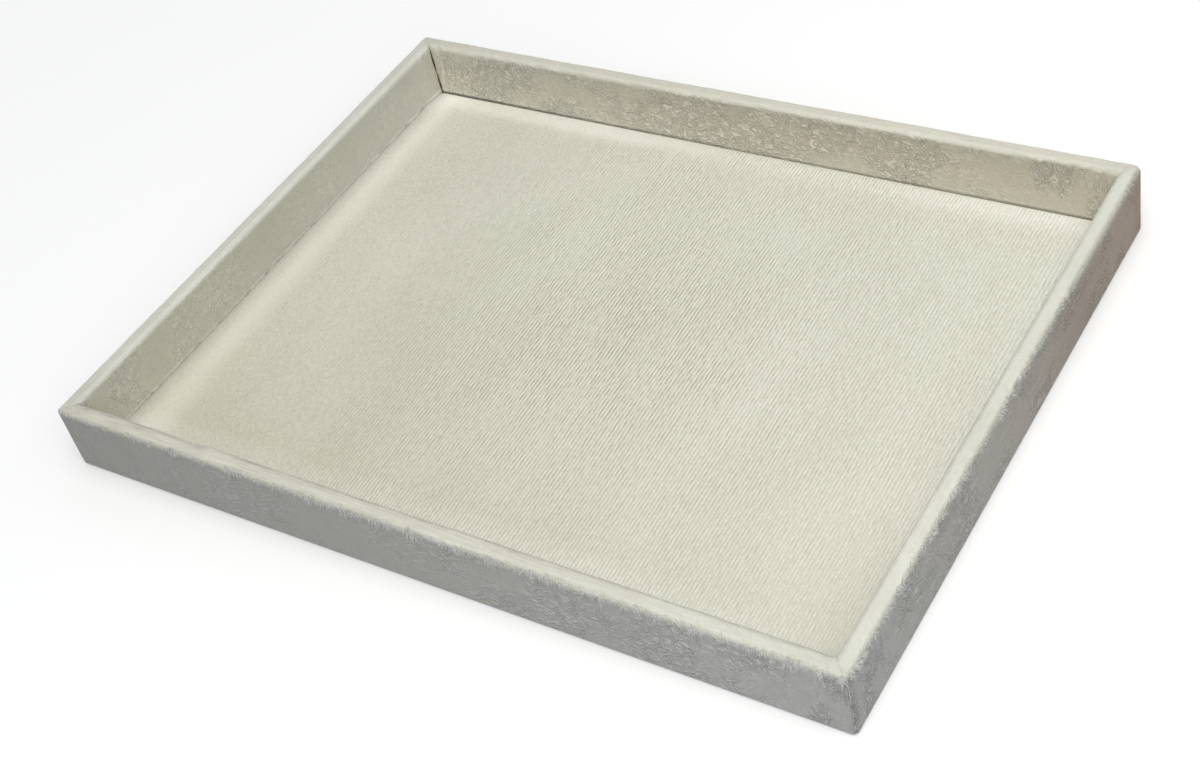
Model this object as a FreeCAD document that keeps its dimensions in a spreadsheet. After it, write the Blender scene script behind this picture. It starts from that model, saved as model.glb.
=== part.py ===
import FreeCAD, Part
import os
import Sketcher

# A velvet jewelry display tray: a low mitred frame of rails nailed to a floor board, each wall wrapped
# in plush cloth, and a thin padded liner of ribbed velvet that drops into the well and lifts out again.
# Lengths are in millimetres. The origin is the middle of the underside, +X runs along the tray's
# length, -Y is its front and +Z is up.

SIZES = {
    # The tray over its cloth
    "tray_length": 340.0,
    "tray_depth": 260.0,
    "tray_height": 30.0,
    # Board, rails and the cloth on them
    "board_thickness": 2.0,
    "rail_thickness": 5.0,
    "rail_corner_round": 1.5,
    "rail_top_round": 0.8,
    "cloth_thickness": 1.0,
    "wrap_turn_width": 15.0,
    "wrap_turn_thickness": 0.5,
    # Lining under the board
    "sheet_thickness": 0.3,
    "sheet_margin": 3.0,
    # Liner pad, from its card up to its cover
    "pad_clearance": 0.6,
    "pad_shift": 0.3,
    "card_corner_round": 2.4,
    "pad_turn_width": 12.0,
    "pad_turn_thickness": 0.4,
    "card_thickness": 0.8,
    "foam_edge_thickness": 0.2,
    "foam_thickness": 1.2,
    "crown_width": 12.0,
    "pad_cover_thickness": 0.6,
    # Headless brads of square wire
    "brad_width": 1.0,
    "brad_clearance": 0.02,
    "corner_brad_length": 15.0,
    "base_brad_length": 12.0,
    "base_brad_end_distance": 30.0,
    # Room that a cutting shape gets past the piece it cuts
    "cut_overrun": 1.0,
}

# How far the crown has come in, and risen, on its way from the foam's edge to its full thickness
CROWN_SHARES = ((0.0, 0.0), (0.15, 0.35), (0.45, 0.75), (1.0, 1.0))
# Heights of the corner brads up the rail, and places of the floor brads between the first and the last
CORNER_BRAD_SHARES = (0.25, 0.75)
LONG_SIDE_BRAD_SHARES = (0.0, 0.25, 0.5, 0.75, 1.0)
SHORT_SIDE_BRAD_SHARES = (0.0, 1 / 3, 2 / 3, 1.0)

LENGTH = "Sizes.tray_length"
DEPTH = "Sizes.tray_depth"
HEIGHT = "Sizes.tray_height"
CLOTH = "Sizes.cloth_thickness"
COVER = "Sizes.pad_cover_thickness"
BRAD = "Sizes.brad_width"
OVERRUN = "Sizes.cut_overrun"

# Levels above the surface that the tray stands on
SHEET_TOP = "Sizes.sheet_thickness"
BOARD_BOTTOM = f"({SHEET_TOP} + Sizes.wrap_turn_thickness)"
BOARD_TOP = f"({BOARD_BOTTOM} + Sizes.board_thickness)"
RAIL_TOP = f"({HEIGHT} - {CLOTH})"
CARD_BOTTOM = f"({BOARD_TOP} + Sizes.pad_turn_thickness)"
CARD_TOP = f"({CARD_BOTTOM} + Sizes.card_thickness)"
FOAM_EDGE_TOP = f"({CARD_TOP} + Sizes.foam_edge_thickness)"
CROWN_RISE = "(Sizes.foam_thickness - Sizes.foam_edge_thickness)"

# Distances in from the tray's outer faces
RAIL_INSIDE = f"({CLOTH} + Sizes.rail_thickness)"
RAIL_MIDDLE = f"({CLOTH} + Sizes.rail_thickness / 2)"
RIM_WIDTH = f"({RAIL_INSIDE} + {CLOTH})"
PAD_EDGE = f"({RIM_WIDTH} + Sizes.pad_clearance)"
CARD_EDGE = f"({PAD_EDGE} + {COVER})"

# Roundings, which the cloth takes from the wood or card that it covers
WOOD_CORNER_ROUND = "Sizes.rail_corner_round"
WOOD_TOP_ROUND = "Sizes.rail_top_round"
WRAP_CORNER_ROUND = f"({WOOD_CORNER_ROUND} + {CLOTH})"
RIM_ROUND = f"({WOOD_TOP_ROUND} + {CLOTH})"
CARD_CORNER_ROUND = "Sizes.card_corner_round"
PAD_CORNER_ROUND = f"({CARD_CORNER_ROUND} + {COVER})"

BRAD_HOLE = f"({BRAD} + 2 * Sizes.brad_clearance)"
SAME_LEVEL = 1e-6

doc = FreeCAD.newDocument("jewelry_tray")
sizes = doc.addObject("Spreadsheet::Sheet", "Sizes")
for row, (alias, size) in enumerate(SIZES.items(), start=1):
    sizes.set(f"A{row}", alias)
    sizes.set(f"B{row}", str(size))
    sizes.setAlias(f"B{row}", alias)
doc.recompute()


def value(expression):
    """What an expression over the sheet comes to now."""
    return sizes.evalExpression(expression)


def inside(inset):
    """Length and depth of the tray's outline, drawn in by an inset."""
    return f"({LENGTH} - 2 * {inset})", f"({DEPTH} - 2 * {inset})"


def new_body(label):
    body = doc.addObject("PartDesign::Body", label)
    body.Label = label
    return body


def origin_plane(body, role):
    return next(feature for feature in body.Origin.OriginFeatures if feature.Role == role)


def new_sketch(body, name, level, back="0", role="XY_Plane"):
    """An empty sketch on one of the body's origin planes, moved out to a level and back from the middle."""
    sketch = body.newObject("Sketcher::SketchObject", f"{body.Label}_{name}")
    sketch.AttachmentSupport = [(origin_plane(body, role), "")]
    sketch.MapMode = "FlatFace"
    sketch.setExpression("AttachmentOffset.Base.y", back)
    sketch.setExpression("AttachmentOffset.Base.z", level)
    return sketch


def dimension(sketch, kind, *where, size):
    """A dimension of the sketch, bound to an expression."""
    index = sketch.addConstraint(Sketcher.Constraint(kind, *where, value(size)))
    sketch.setExpression(f"Constraints[{index}]", size)


def relate(sketch, kind, *where):
    sketch.addConstraint(Sketcher.Constraint(kind, *where))


def draw_rectangle(sketch, length, depth):
    """A rectangle about the sketch's origin."""
    x = value(length) / 2
    y = value(depth) / 2
    places = ((-x, -y), (x, -y), (x, y), (-x, y))
    corners = [FreeCAD.Vector(*place) for place in places]
    sides = []
    for start, end in zip(corners, corners[1:] + corners[:1]):
        sides.append(sketch.addGeometry(Part.LineSegment(start, end)))
    front, right, back, left = sides
    for side, following in zip(sides, sides[1:] + sides[:1]):
        relate(sketch, "Coincident", side, 2, following, 1)
    for side in (front, back):
        relate(sketch, "Horizontal", side)
    for side in (right, left):
        relate(sketch, "Vertical", side)
    relate(sketch, "Symmetric", front, 1, right, 2, -1, 1)
    dimension(sketch, "DistanceX", front, 1, front, 2, size=length)
    dimension(sketch, "DistanceY", right, 1, right, 2, size=depth)


def draw_rounded_rectangle(sketch, length, depth, radius):
    """A rectangle about the sketch's origin with four like corner arcs."""
    r = value(radius)
    x = value(length) / 2 - r
    y = value(depth) / 2 - r
    centres = [FreeCAD.Vector(*place) for place in ((x, -y), (x, y), (-x, y), (-x, -y))]
    outward = [FreeCAD.Vector(*way) for way in ((0, -r), (r, 0), (0, r), (-r, 0))]
    sides = []
    arcs = []
    for quarter, centre in enumerate(centres):
        start = centres[quarter - 1] + outward[quarter]
        end = centre + outward[quarter]
        sides.append(sketch.addGeometry(Part.LineSegment(start, end)))
        turned = centre + outward[(quarter + 1) % len(centres)]
        between = centre + (outward[quarter] + outward[(quarter + 1) % len(centres)]).normalize() * r
        arcs.append(sketch.addGeometry(Part.Arc(end, between, turned)))
    for quarter, arc in enumerate(arcs):
        relate(sketch, "Tangent", sides[quarter], 2, arc, 1)
        relate(sketch, "Tangent", arc, 2, sides[(quarter + 1) % len(sides)], 1)
    front, right, back, left = sides
    for side in (front, back):
        relate(sketch, "Horizontal", side)
    for side in (right, left):
        relate(sketch, "Vertical", side)
    for arc in arcs[1:]:
        relate(sketch, "Equal", arcs[0], arc)
    relate(sketch, "Symmetric", arcs[1], 3, arcs[3], 3, -1, 1)
    dimension(sketch, "Radius", arcs[0], size=radius)
    dimension(sketch, "DistanceX", left, 1, right, 1, size=length)
    dimension(sketch, "DistanceY", front, 1, back, 1, size=depth)


def draw_polygon(sketch, corners):
    """A closed outline of straight sides through corners given as pairs of expressions."""
    places = [FreeCAD.Vector(value(across), value(along)) for across, along in corners]
    sides = []
    for start, end in zip(places, places[1:] + places[:1]):
        sides.append(sketch.addGeometry(Part.LineSegment(start, end)))
    for side, following in zip(sides, sides[1:] + sides[:1]):
        relate(sketch, "Coincident", side, 2, following, 1)
    for side, (across, along) in zip(sides, corners):
        dimension(sketch, "DistanceX", -1, 1, side, 1, size=across)
        dimension(sketch, "DistanceY", -1, 1, side, 1, size=along)


def draw_squares(sketch, places, width):
    """Squares of one width, about places given as pairs of expressions."""
    half = f"{width} / 2"
    ways = (("-", "-"), ("+", "-"), ("+", "+"), ("-", "+"))
    for across, along in places:
        draw_polygon(sketch, [(f"({across} {x} {half})", f"({along} {y} {half})") for x, y in ways])


def pad(body, sketch, length, backwards=False):
    feature = body.newObject("PartDesign::Pad", f"{sketch.Name}_pad")
    feature.Profile = sketch
    feature.setExpression("Length", length)
    feature.Reversed = backwards
    doc.recompute()
    return feature


def pocket(body, sketch, length, forwards=False):
    """Cuts against the sketch's own direction, or along it, and makes sure that something was cut."""
    whole = body.Shape.Volume
    feature = body.newObject("PartDesign::Pocket", f"{sketch.Name}_pocket")
    feature.Profile = sketch
    feature.setExpression("Length", length)
    feature.Reversed = forwards
    doc.recompute()
    if body.Shape.Volume >= whole:
        raise RuntimeError(f"{feature.Name} cuts nothing")
    return feature


def loft(body, kind, name, sections):
    """A loft through rounded rectangles, each given as an inset from the tray, a radius and a level."""
    sketches = []
    for number, (inset, radius, level) in enumerate(sections):
        sketch = new_sketch(body, f"{name}_{number}", level)
        draw_rounded_rectangle(sketch, *inside(inset), radius)
        sketches.append(sketch)
    doc.recompute()
    feature = body.newObject(kind, f"{body.Label}_{name}")
    feature.Profile = sketches[0]
    feature.Sections = sketches[1:]
    feature.Ruled = True
    doc.recompute()


def edges_at(shape, level):
    """Names of the edges that lie wholly at a level."""
    height = value(level)
    names = []
    for number, edge in enumerate(shape.Edges, start=1):
        box = edge.BoundBox
        if max(abs(box.ZMin - height), abs(box.ZMax - height)) < SAME_LEVEL:
            names.append(f"Edge{number}")
    return names


def dress(body, kind, name, level, size_name, size):
    """Rounds or bevels every edge of the body at a level."""
    base = body.Tip
    feature = body.newObject(kind, f"{body.Label}_{name}")
    feature.Base = (base, edges_at(base.Shape, level))
    feature.setExpression(size_name, size)
    doc.recompute()


def row_of_places(length, depth, shares):
    """Places of the floor brads along the middle of one rail, the rail at the front."""
    run = f"({length} - 2 * Sizes.base_brad_end_distance)"
    back = f"(-{depth} / 2 + {RAIL_MIDDLE})"
    return [(f"({share} * {run} - {run} / 2)", back) for share in shares]


def base_brad_places():
    """Places of all the floor brads."""
    places = []
    for across, along in row_of_places(LENGTH, DEPTH, LONG_SIDE_BRAD_SHARES):
        places += [(across, along), (across, f"-{along}")]
    for across, along in row_of_places(DEPTH, LENGTH, SHORT_SIDE_BRAD_SHARES):
        places += [(along, across), (f"-{along}", across)]
    return places


def corner_brad_heights():
    return [f"({BOARD_TOP} + {share} * ({RAIL_TOP} - {BOARD_TOP}))" for share in CORNER_BRAD_SHARES]


def corner_brad_places():
    """Places of the corner brads on the front face: along the tray, and up."""
    side = f"({LENGTH} / 2 - {RAIL_MIDDLE})"
    return [(f"{way}{side}", up) for up in corner_brad_heights() for way in ("-", "")]


def mirror(body, feature, role):
    """Repeats a feature on the other side of one of the body's origin planes."""
    mirrored = body.newObject("PartDesign::Mirrored", f"{feature.Name}_mirrored")
    mirrored.Originals = [feature]
    mirrored.MirrorPlane = (origin_plane(body, role), [""])
    body.Tip = mirrored
    doc.recompute()


def strip(body, name, level, length, depth, front, back, radius):
    """A sketch of a strip along the front, between two distances in from the tray's front face."""
    middle = f"(-{depth} / 2 + ({front} + {back}) / 2)"
    sketch = new_sketch(body, name, level, middle)
    draw_rounded_rectangle(sketch, length, f"({back} - {front})", radius)
    return sketch


def cut_mitres(body, length, depth, reach):
    """Cuts both ends of a piece along the front at 45 degrees, through the tray's corners."""
    outer_x = f"({length} / 2 + {OVERRUN})"
    outer_y = f"(-{depth} / 2 - {OVERRUN})"
    inner_x = f"({length} / 2 - {reach})"
    inner_y = f"(-{depth} / 2 + {reach})"
    sketch = new_sketch(body, "mitres", f"{HEIGHT} + {OVERRUN}")
    for way in ("-", ""):
        corners = [(f"{way}{outer_x}", outer_y), (f"{way}{inner_x}", inner_y), (f"{way}{outer_x}", inner_y)]
        draw_polygon(sketch, corners)
    pocket(body, sketch, f"{HEIGHT} + 2 * {OVERRUN}")


def turn_to_side(body, turn):
    """Turns a piece made along the front round to its own side of the tray."""
    body.Placement = FreeCAD.Placement(FreeCAD.Vector(), FreeCAD.Rotation(FreeCAD.Vector(0, 0, 1), turn))


def make_base_board():
    """The stiff floor, bored for the brads that hold the rails."""
    body = new_body("base_board")
    outline = new_sketch(body, "outline", BOARD_BOTTOM)
    draw_rounded_rectangle(outline, *inside(CLOTH), WOOD_CORNER_ROUND)
    pad(body, outline, "Sizes.board_thickness")
    holes = new_sketch(body, "brad_holes", BOARD_BOTTOM)
    draw_squares(holes, base_brad_places(), BRAD_HOLE)
    pocket(body, holes, "Sizes.board_thickness", forwards=True)
    return body


def make_rail(label, length, depth, turn, brad_shares, is_nailed_through):
    """One wall's rail with rounded top edges and mitred ends, bored for its brads."""
    body = new_body(label)
    rail_length = f"({length} - 2 * {CLOTH})"
    outline = strip(body, "outline", BOARD_TOP, rail_length, depth, CLOTH, RAIL_INSIDE, WOOD_CORNER_ROUND)
    pad(body, outline, f"{RAIL_TOP} - {BOARD_TOP}")
    dress(body, "PartDesign::Fillet", "top_round", RAIL_TOP, "Radius", WOOD_TOP_ROUND)
    cut_mitres(body, length, depth, f"({RAIL_INSIDE} + {OVERRUN})")
    floor_holes = new_sketch(body, "floor_brad_holes", BOARD_TOP)
    draw_squares(floor_holes, row_of_places(length, depth, brad_shares), BRAD_HOLE)
    pocket(body, floor_holes, "Sizes.base_brad_length - Sizes.board_thickness", forwards=True)
    if is_nailed_through:
        holes = new_sketch(body, "corner_brad_holes", f"{depth} / 2 - {CLOTH}", role="XZ_Plane")
        draw_squares(holes, corner_brad_places(), BRAD_HOLE)
        pocket(body, holes, "Sizes.rail_thickness")
    else:
        holes = new_sketch(body, "corner_brad_holes", f"{length} / 2 - {CLOTH}", role="YZ_Plane")
        middle = f"(-{depth} / 2 + {RAIL_MIDDLE})"
        draw_squares(holes, [(middle, up) for up in corner_brad_heights()], BRAD_HOLE)
        mirror(body, pocket(body, holes, "Sizes.corner_brad_length"), "YZ_Plane")
    turn_to_side(body, turn)
    return body


def make_wrap(label, length, depth, turn):
    """One wall's cloth: under the board, up the outside, over the rounded rim and down the inside."""
    body = new_body(label)
    turn_end = "Sizes.wrap_turn_width"
    past_end = f"({turn_end} + {OVERRUN})"
    wood_length = f"({length} - 2 * {CLOTH})"
    block = strip(body, "block", SHEET_TOP, length, depth, "0", turn_end, WRAP_CORNER_ROUND)
    pad(body, block, f"{HEIGHT} - {SHEET_TOP}")
    well = new_sketch(body, "well", HEIGHT, f"(-{depth} / 2 + ({RIM_WIDTH} + {past_end}) / 2)")
    draw_rectangle(well, f"({length} + 2 * {OVERRUN})", f"({past_end} - {RIM_WIDTH})")
    pocket(body, well, f"{HEIGHT} - {BOARD_BOTTOM}")
    dress(body, "PartDesign::Fillet", "rim_round", HEIGHT, "Radius", RIM_ROUND)
    channel = strip(body, "channel", RAIL_TOP, wood_length, depth, CLOTH, RAIL_INSIDE, WOOD_CORNER_ROUND)
    pocket(body, channel, f"{RAIL_TOP} - {BOARD_TOP}")
    dress(body, "PartDesign::Fillet", "channel_round", RAIL_TOP, "Radius", WOOD_TOP_ROUND)
    slot = strip(body, "board_slot", BOARD_TOP, wood_length, depth, CLOTH, past_end, WOOD_CORNER_ROUND)
    pocket(body, slot, "Sizes.board_thickness")
    cut_mitres(body, length, depth, past_end)
    turn_to_side(body, turn)
    return body


def make_bottom_sheet():
    """The lining: over the turned-under cloth round the edge, pressed up against the board inside it."""
    body = new_body("bottom_sheet")
    outline = new_sketch(body, "outline", "0")
    draw_rounded_rectangle(outline, *inside("Sizes.sheet_margin"), WOOD_CORNER_ROUND)
    pad(body, outline, SHEET_TOP)
    middle = new_sketch(body, "middle", SHEET_TOP)
    draw_rectangle(middle, *inside("Sizes.wrap_turn_width"))
    pad(body, middle, f"{BOARD_BOTTOM} - {SHEET_TOP}")
    recess = new_sketch(body, "recess", "0")
    draw_rectangle(recess, *inside("(Sizes.wrap_turn_width + Sizes.sheet_thickness)"))
    pocket(body, recess, f"{BOARD_BOTTOM} - {SHEET_TOP}", forwards=True)
    return body


def crown_sections(lift):
    """The foam's crowned top, from its edge inwards, lifted by the cloth that lies on it."""
    sections = []
    for in_share, rise_share in CROWN_SHARES:
        inset = f"({CARD_EDGE} + {in_share} * Sizes.crown_width)"
        level = f"({FOAM_EDGE_TOP} + {rise_share} * {CROWN_RISE} + {lift})"
        sections.append((inset, CARD_CORNER_ROUND, level))
    return sections


def lay_in_the_well(body):
    """Pushes a piece of the liner to where the liner lies, towards the front left corner."""
    body.setExpression("Placement.Base.x", "-Sizes.pad_shift")
    body.setExpression("Placement.Base.y", "-Sizes.pad_shift")


def make_pad_card():
    body = new_body("pad_card")
    outline = new_sketch(body, "outline", CARD_BOTTOM)
    draw_rounded_rectangle(outline, *inside(CARD_EDGE), CARD_CORNER_ROUND)
    pad(body, outline, "Sizes.card_thickness")
    lay_in_the_well(body)
    return body


def make_pad_foam():
    """The sponge on the card, drawn down to almost nothing at its edges by the cover."""
    body = new_body("pad_foam")
    foot = (CARD_EDGE, CARD_CORNER_ROUND, CARD_TOP)
    loft(body, "PartDesign::AdditiveLoft", "crown", [foot] + crown_sections("0"))
    lay_in_the_well(body)
    return body


def make_pad_cover():
    """The ribbed velvet: over the crown, round the edges and turned under the card."""
    body = new_body("pad_cover")
    sides = [(PAD_EDGE, PAD_CORNER_ROUND, level) for level in (BOARD_TOP, FOAM_EDGE_TOP)]
    loft(body, "PartDesign::AdditiveLoft", "skin", sides + crown_sections(COVER))
    foot = (CARD_EDGE, CARD_CORNER_ROUND, CARD_BOTTOM)
    loft(body, "PartDesign::SubtractiveLoft", "filling", [foot] + crown_sections("0"))
    underside = new_sketch(body, "underside", BOARD_TOP)
    draw_rectangle(underside, *inside(f"({PAD_EDGE} + Sizes.pad_turn_width)"))
    pocket(body, underside, "Sizes.pad_turn_thickness", forwards=True)
    lay_in_the_well(body)
    return body


def make_base_brads():
    """Headless brads, driven up through the board into the rails."""
    body = new_body("base_brads")
    wires = new_sketch(body, "wires", BOARD_BOTTOM)
    draw_squares(wires, base_brad_places(), BRAD)
    pad(body, wires, "Sizes.base_brad_length")
    tip = f"({BOARD_BOTTOM} + Sizes.base_brad_length)"
    dress(body, "PartDesign::Chamfer", "points", tip, "Size", f"{BRAD} / 4")
    return body


def make_corner_brads():
    """Headless brads, driven in from the front and back faces across the mitres."""
    body = new_body("corner_brads")
    wires = new_sketch(body, "wires", f"{DEPTH} / 2 - {CLOTH}", role="XZ_Plane")
    draw_squares(wires, corner_brad_places(), BRAD)
    mirror(body, pad(body, wires, "Sizes.corner_brad_length", backwards=True), "XZ_Plane")
    return body


pieces = [make_base_board(), make_bottom_sheet(), make_pad_card(), make_pad_foam(), make_pad_cover()]
pieces += [make_base_brads(), make_corner_brads()]
for side, length, depth, turn, brad_shares, is_long in (
    ("front", LENGTH, DEPTH, 0, LONG_SIDE_BRAD_SHARES, True),
    ("right", DEPTH, LENGTH, 90, SHORT_SIDE_BRAD_SHARES, False),
    ("back", LENGTH, DEPTH, 180, LONG_SIDE_BRAD_SHARES, True),
    ("left", DEPTH, LENGTH, -90, SHORT_SIDE_BRAD_SHARES, False),
):
    pieces.append(make_rail(f"{side}_rail", length, depth, turn, brad_shares, is_long))
    pieces.append(make_wrap(f"{side}_wrap", length, depth, turn))
doc.recompute()

for item in doc.Objects:
    if "Invalid" in item.State or "Error" in item.State:
        raise RuntimeError(f"{item.Label} failed: {item.State}")
for piece in pieces:
    if piece.Shape.isNull() or not piece.Shape.isValid():
        raise RuntimeError(f"{piece.Label} has no valid shape")

os.makedirs("parts", exist_ok=True)
for piece in pieces:
    box = piece.Shape.BoundBox
    print(
        f"{piece.Label}: {len(piece.Shape.Solids)} solids, {piece.Shape.Volume:.1f} mm3,"
        f" {box.XLength:.2f} x {box.YLength:.2f} x {box.ZLength:.2f}, from z {box.ZMin:.2f}"
    )
    piece.Shape.exportStep(f"parts/{piece.Label}.step")
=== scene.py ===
# %% [markdown]
# # A velvet-wrapped jewelry tray
# The tray is a low frame of fibreboard rails on a hardboard floor. Off-white plush is wrapped over each rail,
# and a loose pad covered in ribbed velvet lies in the well. The board, rails, card and brads are exact solids
# already, so this lesson keeps them and makes what cloth adds: folds, seams, pile, ribs and soft edges.
# The first cell loads the solids as a fixed frame and keeps their box, from which the tray's size is read.

import math
import random
from functools import partial

import bmesh
import bpy
from mathutils import Matrix, Quaternion, Vector, noise
from mathutils.bvhtree import BVHTree


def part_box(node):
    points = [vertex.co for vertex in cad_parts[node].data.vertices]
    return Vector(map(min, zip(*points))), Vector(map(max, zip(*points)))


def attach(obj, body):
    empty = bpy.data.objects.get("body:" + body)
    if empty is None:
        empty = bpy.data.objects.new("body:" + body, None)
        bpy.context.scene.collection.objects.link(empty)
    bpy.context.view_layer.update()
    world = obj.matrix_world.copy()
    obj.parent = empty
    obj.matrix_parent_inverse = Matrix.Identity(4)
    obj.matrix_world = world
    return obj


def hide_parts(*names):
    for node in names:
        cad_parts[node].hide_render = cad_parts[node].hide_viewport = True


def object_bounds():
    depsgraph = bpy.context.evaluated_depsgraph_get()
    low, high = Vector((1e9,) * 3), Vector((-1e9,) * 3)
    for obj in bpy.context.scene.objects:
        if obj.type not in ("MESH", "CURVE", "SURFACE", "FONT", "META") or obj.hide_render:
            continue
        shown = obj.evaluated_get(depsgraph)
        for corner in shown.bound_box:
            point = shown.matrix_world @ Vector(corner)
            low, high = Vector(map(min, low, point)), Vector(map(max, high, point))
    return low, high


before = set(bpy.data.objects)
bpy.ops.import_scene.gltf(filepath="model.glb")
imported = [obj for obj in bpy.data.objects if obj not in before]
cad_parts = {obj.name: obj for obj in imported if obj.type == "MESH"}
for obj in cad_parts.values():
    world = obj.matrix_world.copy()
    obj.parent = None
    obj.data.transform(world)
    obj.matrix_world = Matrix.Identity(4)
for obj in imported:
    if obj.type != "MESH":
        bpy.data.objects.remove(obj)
cad_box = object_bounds()
MM = 0.001
scene = bpy.context.scene
scene.view_settings.view_transform = "Standard"


def in_mm(lengths):
    """Lengths in metres as rounded millimetres, for printing."""
    return [round(length / MM, 2) for length in lengths]


print("frame:", len(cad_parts), "nodes in a box of", in_mm(cad_box[1] - cad_box[0]), "mm")

# %% [markdown]
# ## The camera
# The picture was taken from above the front right corner, with the camera rolled so that the tray lies at a
# slant. The focal length and the place come from fitting a camera to the tray's corners. Aiming with
# `to_track_quat` and then turning about the view line keeps the roll apart from the aim, so each can be read.

# %% Camera
PHOTO_WIDTH = 1200
FOCAL_PIXELS = 1900
SENSOR_WIDTH = 36
CAMERA_PLACE = Vector((0.3645, -0.4275, 0.4952))
CAMERA_AIM = Vector((0.0168, -0.0292, 0.010))
CAMERA_ROLL = math.radians(-15.09)


def put_in_scene(name, data):
    """An object that holds this data, linked to the scene."""
    holder = bpy.data.objects.new(name, data)
    scene.collection.objects.link(holder)
    return holder


def looking(place, aim):
    """The turn that makes a camera or a lamp at a place look at its aim."""
    return (Vector(aim) - Vector(place)).to_track_quat("-Z", "Y")


lens = bpy.data.cameras.new("photo_camera")
lens.sensor_width = SENSOR_WIDTH
lens.lens = SENSOR_WIDTH * FOCAL_PIXELS / PHOTO_WIDTH
camera = put_in_scene("photo_camera", lens)
camera.location = CAMERA_PLACE
camera.rotation_mode = "QUATERNION"
camera.rotation_quaternion = looking(CAMERA_PLACE, CAMERA_AIM) @ Quaternion((0, 0, 1), CAMERA_ROLL)
scene.camera = camera
print("camera:", round(lens.lens, 1), "mm lens,", round((CAMERA_AIM - CAMERA_PLACE).length, 3), "m away")

# %% [markdown]
# ## Studio light
# Velvet shows its form by how bright each face is, so the light has to come mostly from above: the rim and the
# pad are then bright and the walls fall off to grey. A wide overhead sun, tilted a little to the front and the
# right, gives that with soft shadows, and a pale sky fills the rest. A sun lights both ends of the tray alike, so
# a broad lamp that looks at the front right corner and a long one over the right wall make that end the brighter
# one. The sky and the first of these lamps are slightly cool, the sun and the other slightly warm, as in a room.
# Three helpers come first: one adds a node and fills its inputs, one reckons with two values, and one ends a tree
# with two shaders, because the sky should look white without lighting the tray as a white one would.

# %% Sky and overhead light
def add(tree, kind, inputs=None, **settings):
    """A new node with its settings. Each input gets a plain value or another node's output."""
    node = tree.nodes.new(kind)
    for name, setting in settings.items():
        setattr(node, name, setting)
    for name, source in (inputs or {}).items():
        if isinstance(source, bpy.types.NodeSocket):
            tree.links.new(source, node.inputs[name])
        else:
            node.inputs[name].default_value = source
    return node


def reckon(operation, first, second):
    """The result of a Math node on an output and another output or a number."""
    node = add(first.id_data, "ShaderNodeMath", {0: first, 1: second}, operation=operation)
    return node.outputs[0]


def seen_or_lighting(tree, seen, lighting, end_kind):
    """Ends a tree: the eye, a mirror and a glass see one shader, and the other lights everything else."""
    path = add(tree, "ShaderNodeLightPath").outputs
    eye_or_mirror = reckon("MAXIMUM", path["Is Camera Ray"], path["Is Glossy Ray"])
    any_of_them = reckon("MAXIMUM", eye_or_mirror, path["Is Transmission Ray"])
    choice = add(tree, "ShaderNodeMixShader", {0: any_of_them, 1: lighting.outputs[0], 2: seen.outputs[0]})
    add(tree, end_kind, {"Surface": choice.outputs[0]})


WHITE = (1, 1, 1, 1)
SKY_LIGHT = (0.86, 0.93, 1.04, 1)
SKY_STRENGTH = 0.48
OVERHEAD_COLOUR = (1.0, 0.965, 0.90)
OVERHEAD_STRENGTH = 1.54
OVERHEAD_SPREAD = math.radians(60)
OVERHEAD_PLACE = (0, 0, 2)
OVERHEAD_TILT = (math.radians(13), math.radians(10), 0)
LAMPS = {
    "near_lamp": {
        "place": (0.36, -0.36, 0.42), "aim": (0.12, -0.10, 0.02),
        "size": (0.4, 0.4), "power": 0.80, "colour": (0.96, 1.0, 1.10),
    },
    "right_lamp": {
        "place": (0.21, 0.06, 0.33), "aim": (0.21, 0.06, 0.0),
        "size": (0.16, 0.5), "power": 0.19, "colour": (1.0, 0.98, 0.90),
    },
}

sky = bpy.data.worlds.new("studio_sky")
scene.world = sky
sky.use_nodes = True
sky.node_tree.nodes.clear()
lights_all = add(sky.node_tree, "ShaderNodeBackground", {"Color": SKY_LIGHT, "Strength": SKY_STRENGTH})
shown_white = add(sky.node_tree, "ShaderNodeBackground", {"Color": WHITE, "Strength": 1.0})
seen_or_lighting(sky.node_tree, shown_white, lights_all, "ShaderNodeOutputWorld")

overhead = bpy.data.lights.new("overhead_light", "SUN")
overhead.energy = OVERHEAD_STRENGTH
overhead.color = OVERHEAD_COLOUR
overhead.angle = OVERHEAD_SPREAD
overhead_lamp = put_in_scene("overhead_light", overhead)
overhead_lamp.location = OVERHEAD_PLACE
overhead_lamp.rotation_euler = OVERHEAD_TILT

for name, lamp in LAMPS.items():
    light = bpy.data.lights.new(name, "AREA")
    light.shape = "RECTANGLE"
    light.size, light.size_y = lamp["size"]
    light.energy = lamp["power"]
    light.color = lamp["colour"]
    holder = put_in_scene(name, light)
    holder.location = lamp["place"]
    holder.rotation_euler = looking(lamp["place"], lamp["aim"]).to_euler()
    holder.visible_camera = False
print("light: sky", SKY_STRENGTH, "overhead", OVERHEAD_STRENGTH, "lamps", len(LAMPS))

# %% [markdown]
# ## The table
# A plain white table carries the tray and takes its shadow. A white table would also throw light up at the
# walls and wash them out, so its material is white only where it is seen and grey where it lights others.

# %% Table
TABLE_WHITE = (1.0, 0.988, 0.962, 1)
TABLE_BOUNCE = (0.30, 0.30, 0.31, 1)
TABLE_REACH = 4.0
TABLE_DROP = 0.2 * MM


def start_finish(name):
    """A material with an empty node tree, and the tree."""
    finish = bpy.data.materials.new(name)
    finish.use_nodes = True
    finish.node_tree.nodes.clear()
    return finish, finish.node_tree


def flat_grid(columns, rows, half_x, half_y):
    """A level grid with so many faces each way, centred on the origin."""
    bm = bmesh.new()
    bmesh.ops.create_grid(bm, x_segments=columns, y_segments=rows, size=1)
    bmesh.ops.scale(bm, verts=bm.verts, vec=(half_x, half_y, 1))
    return bm


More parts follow.
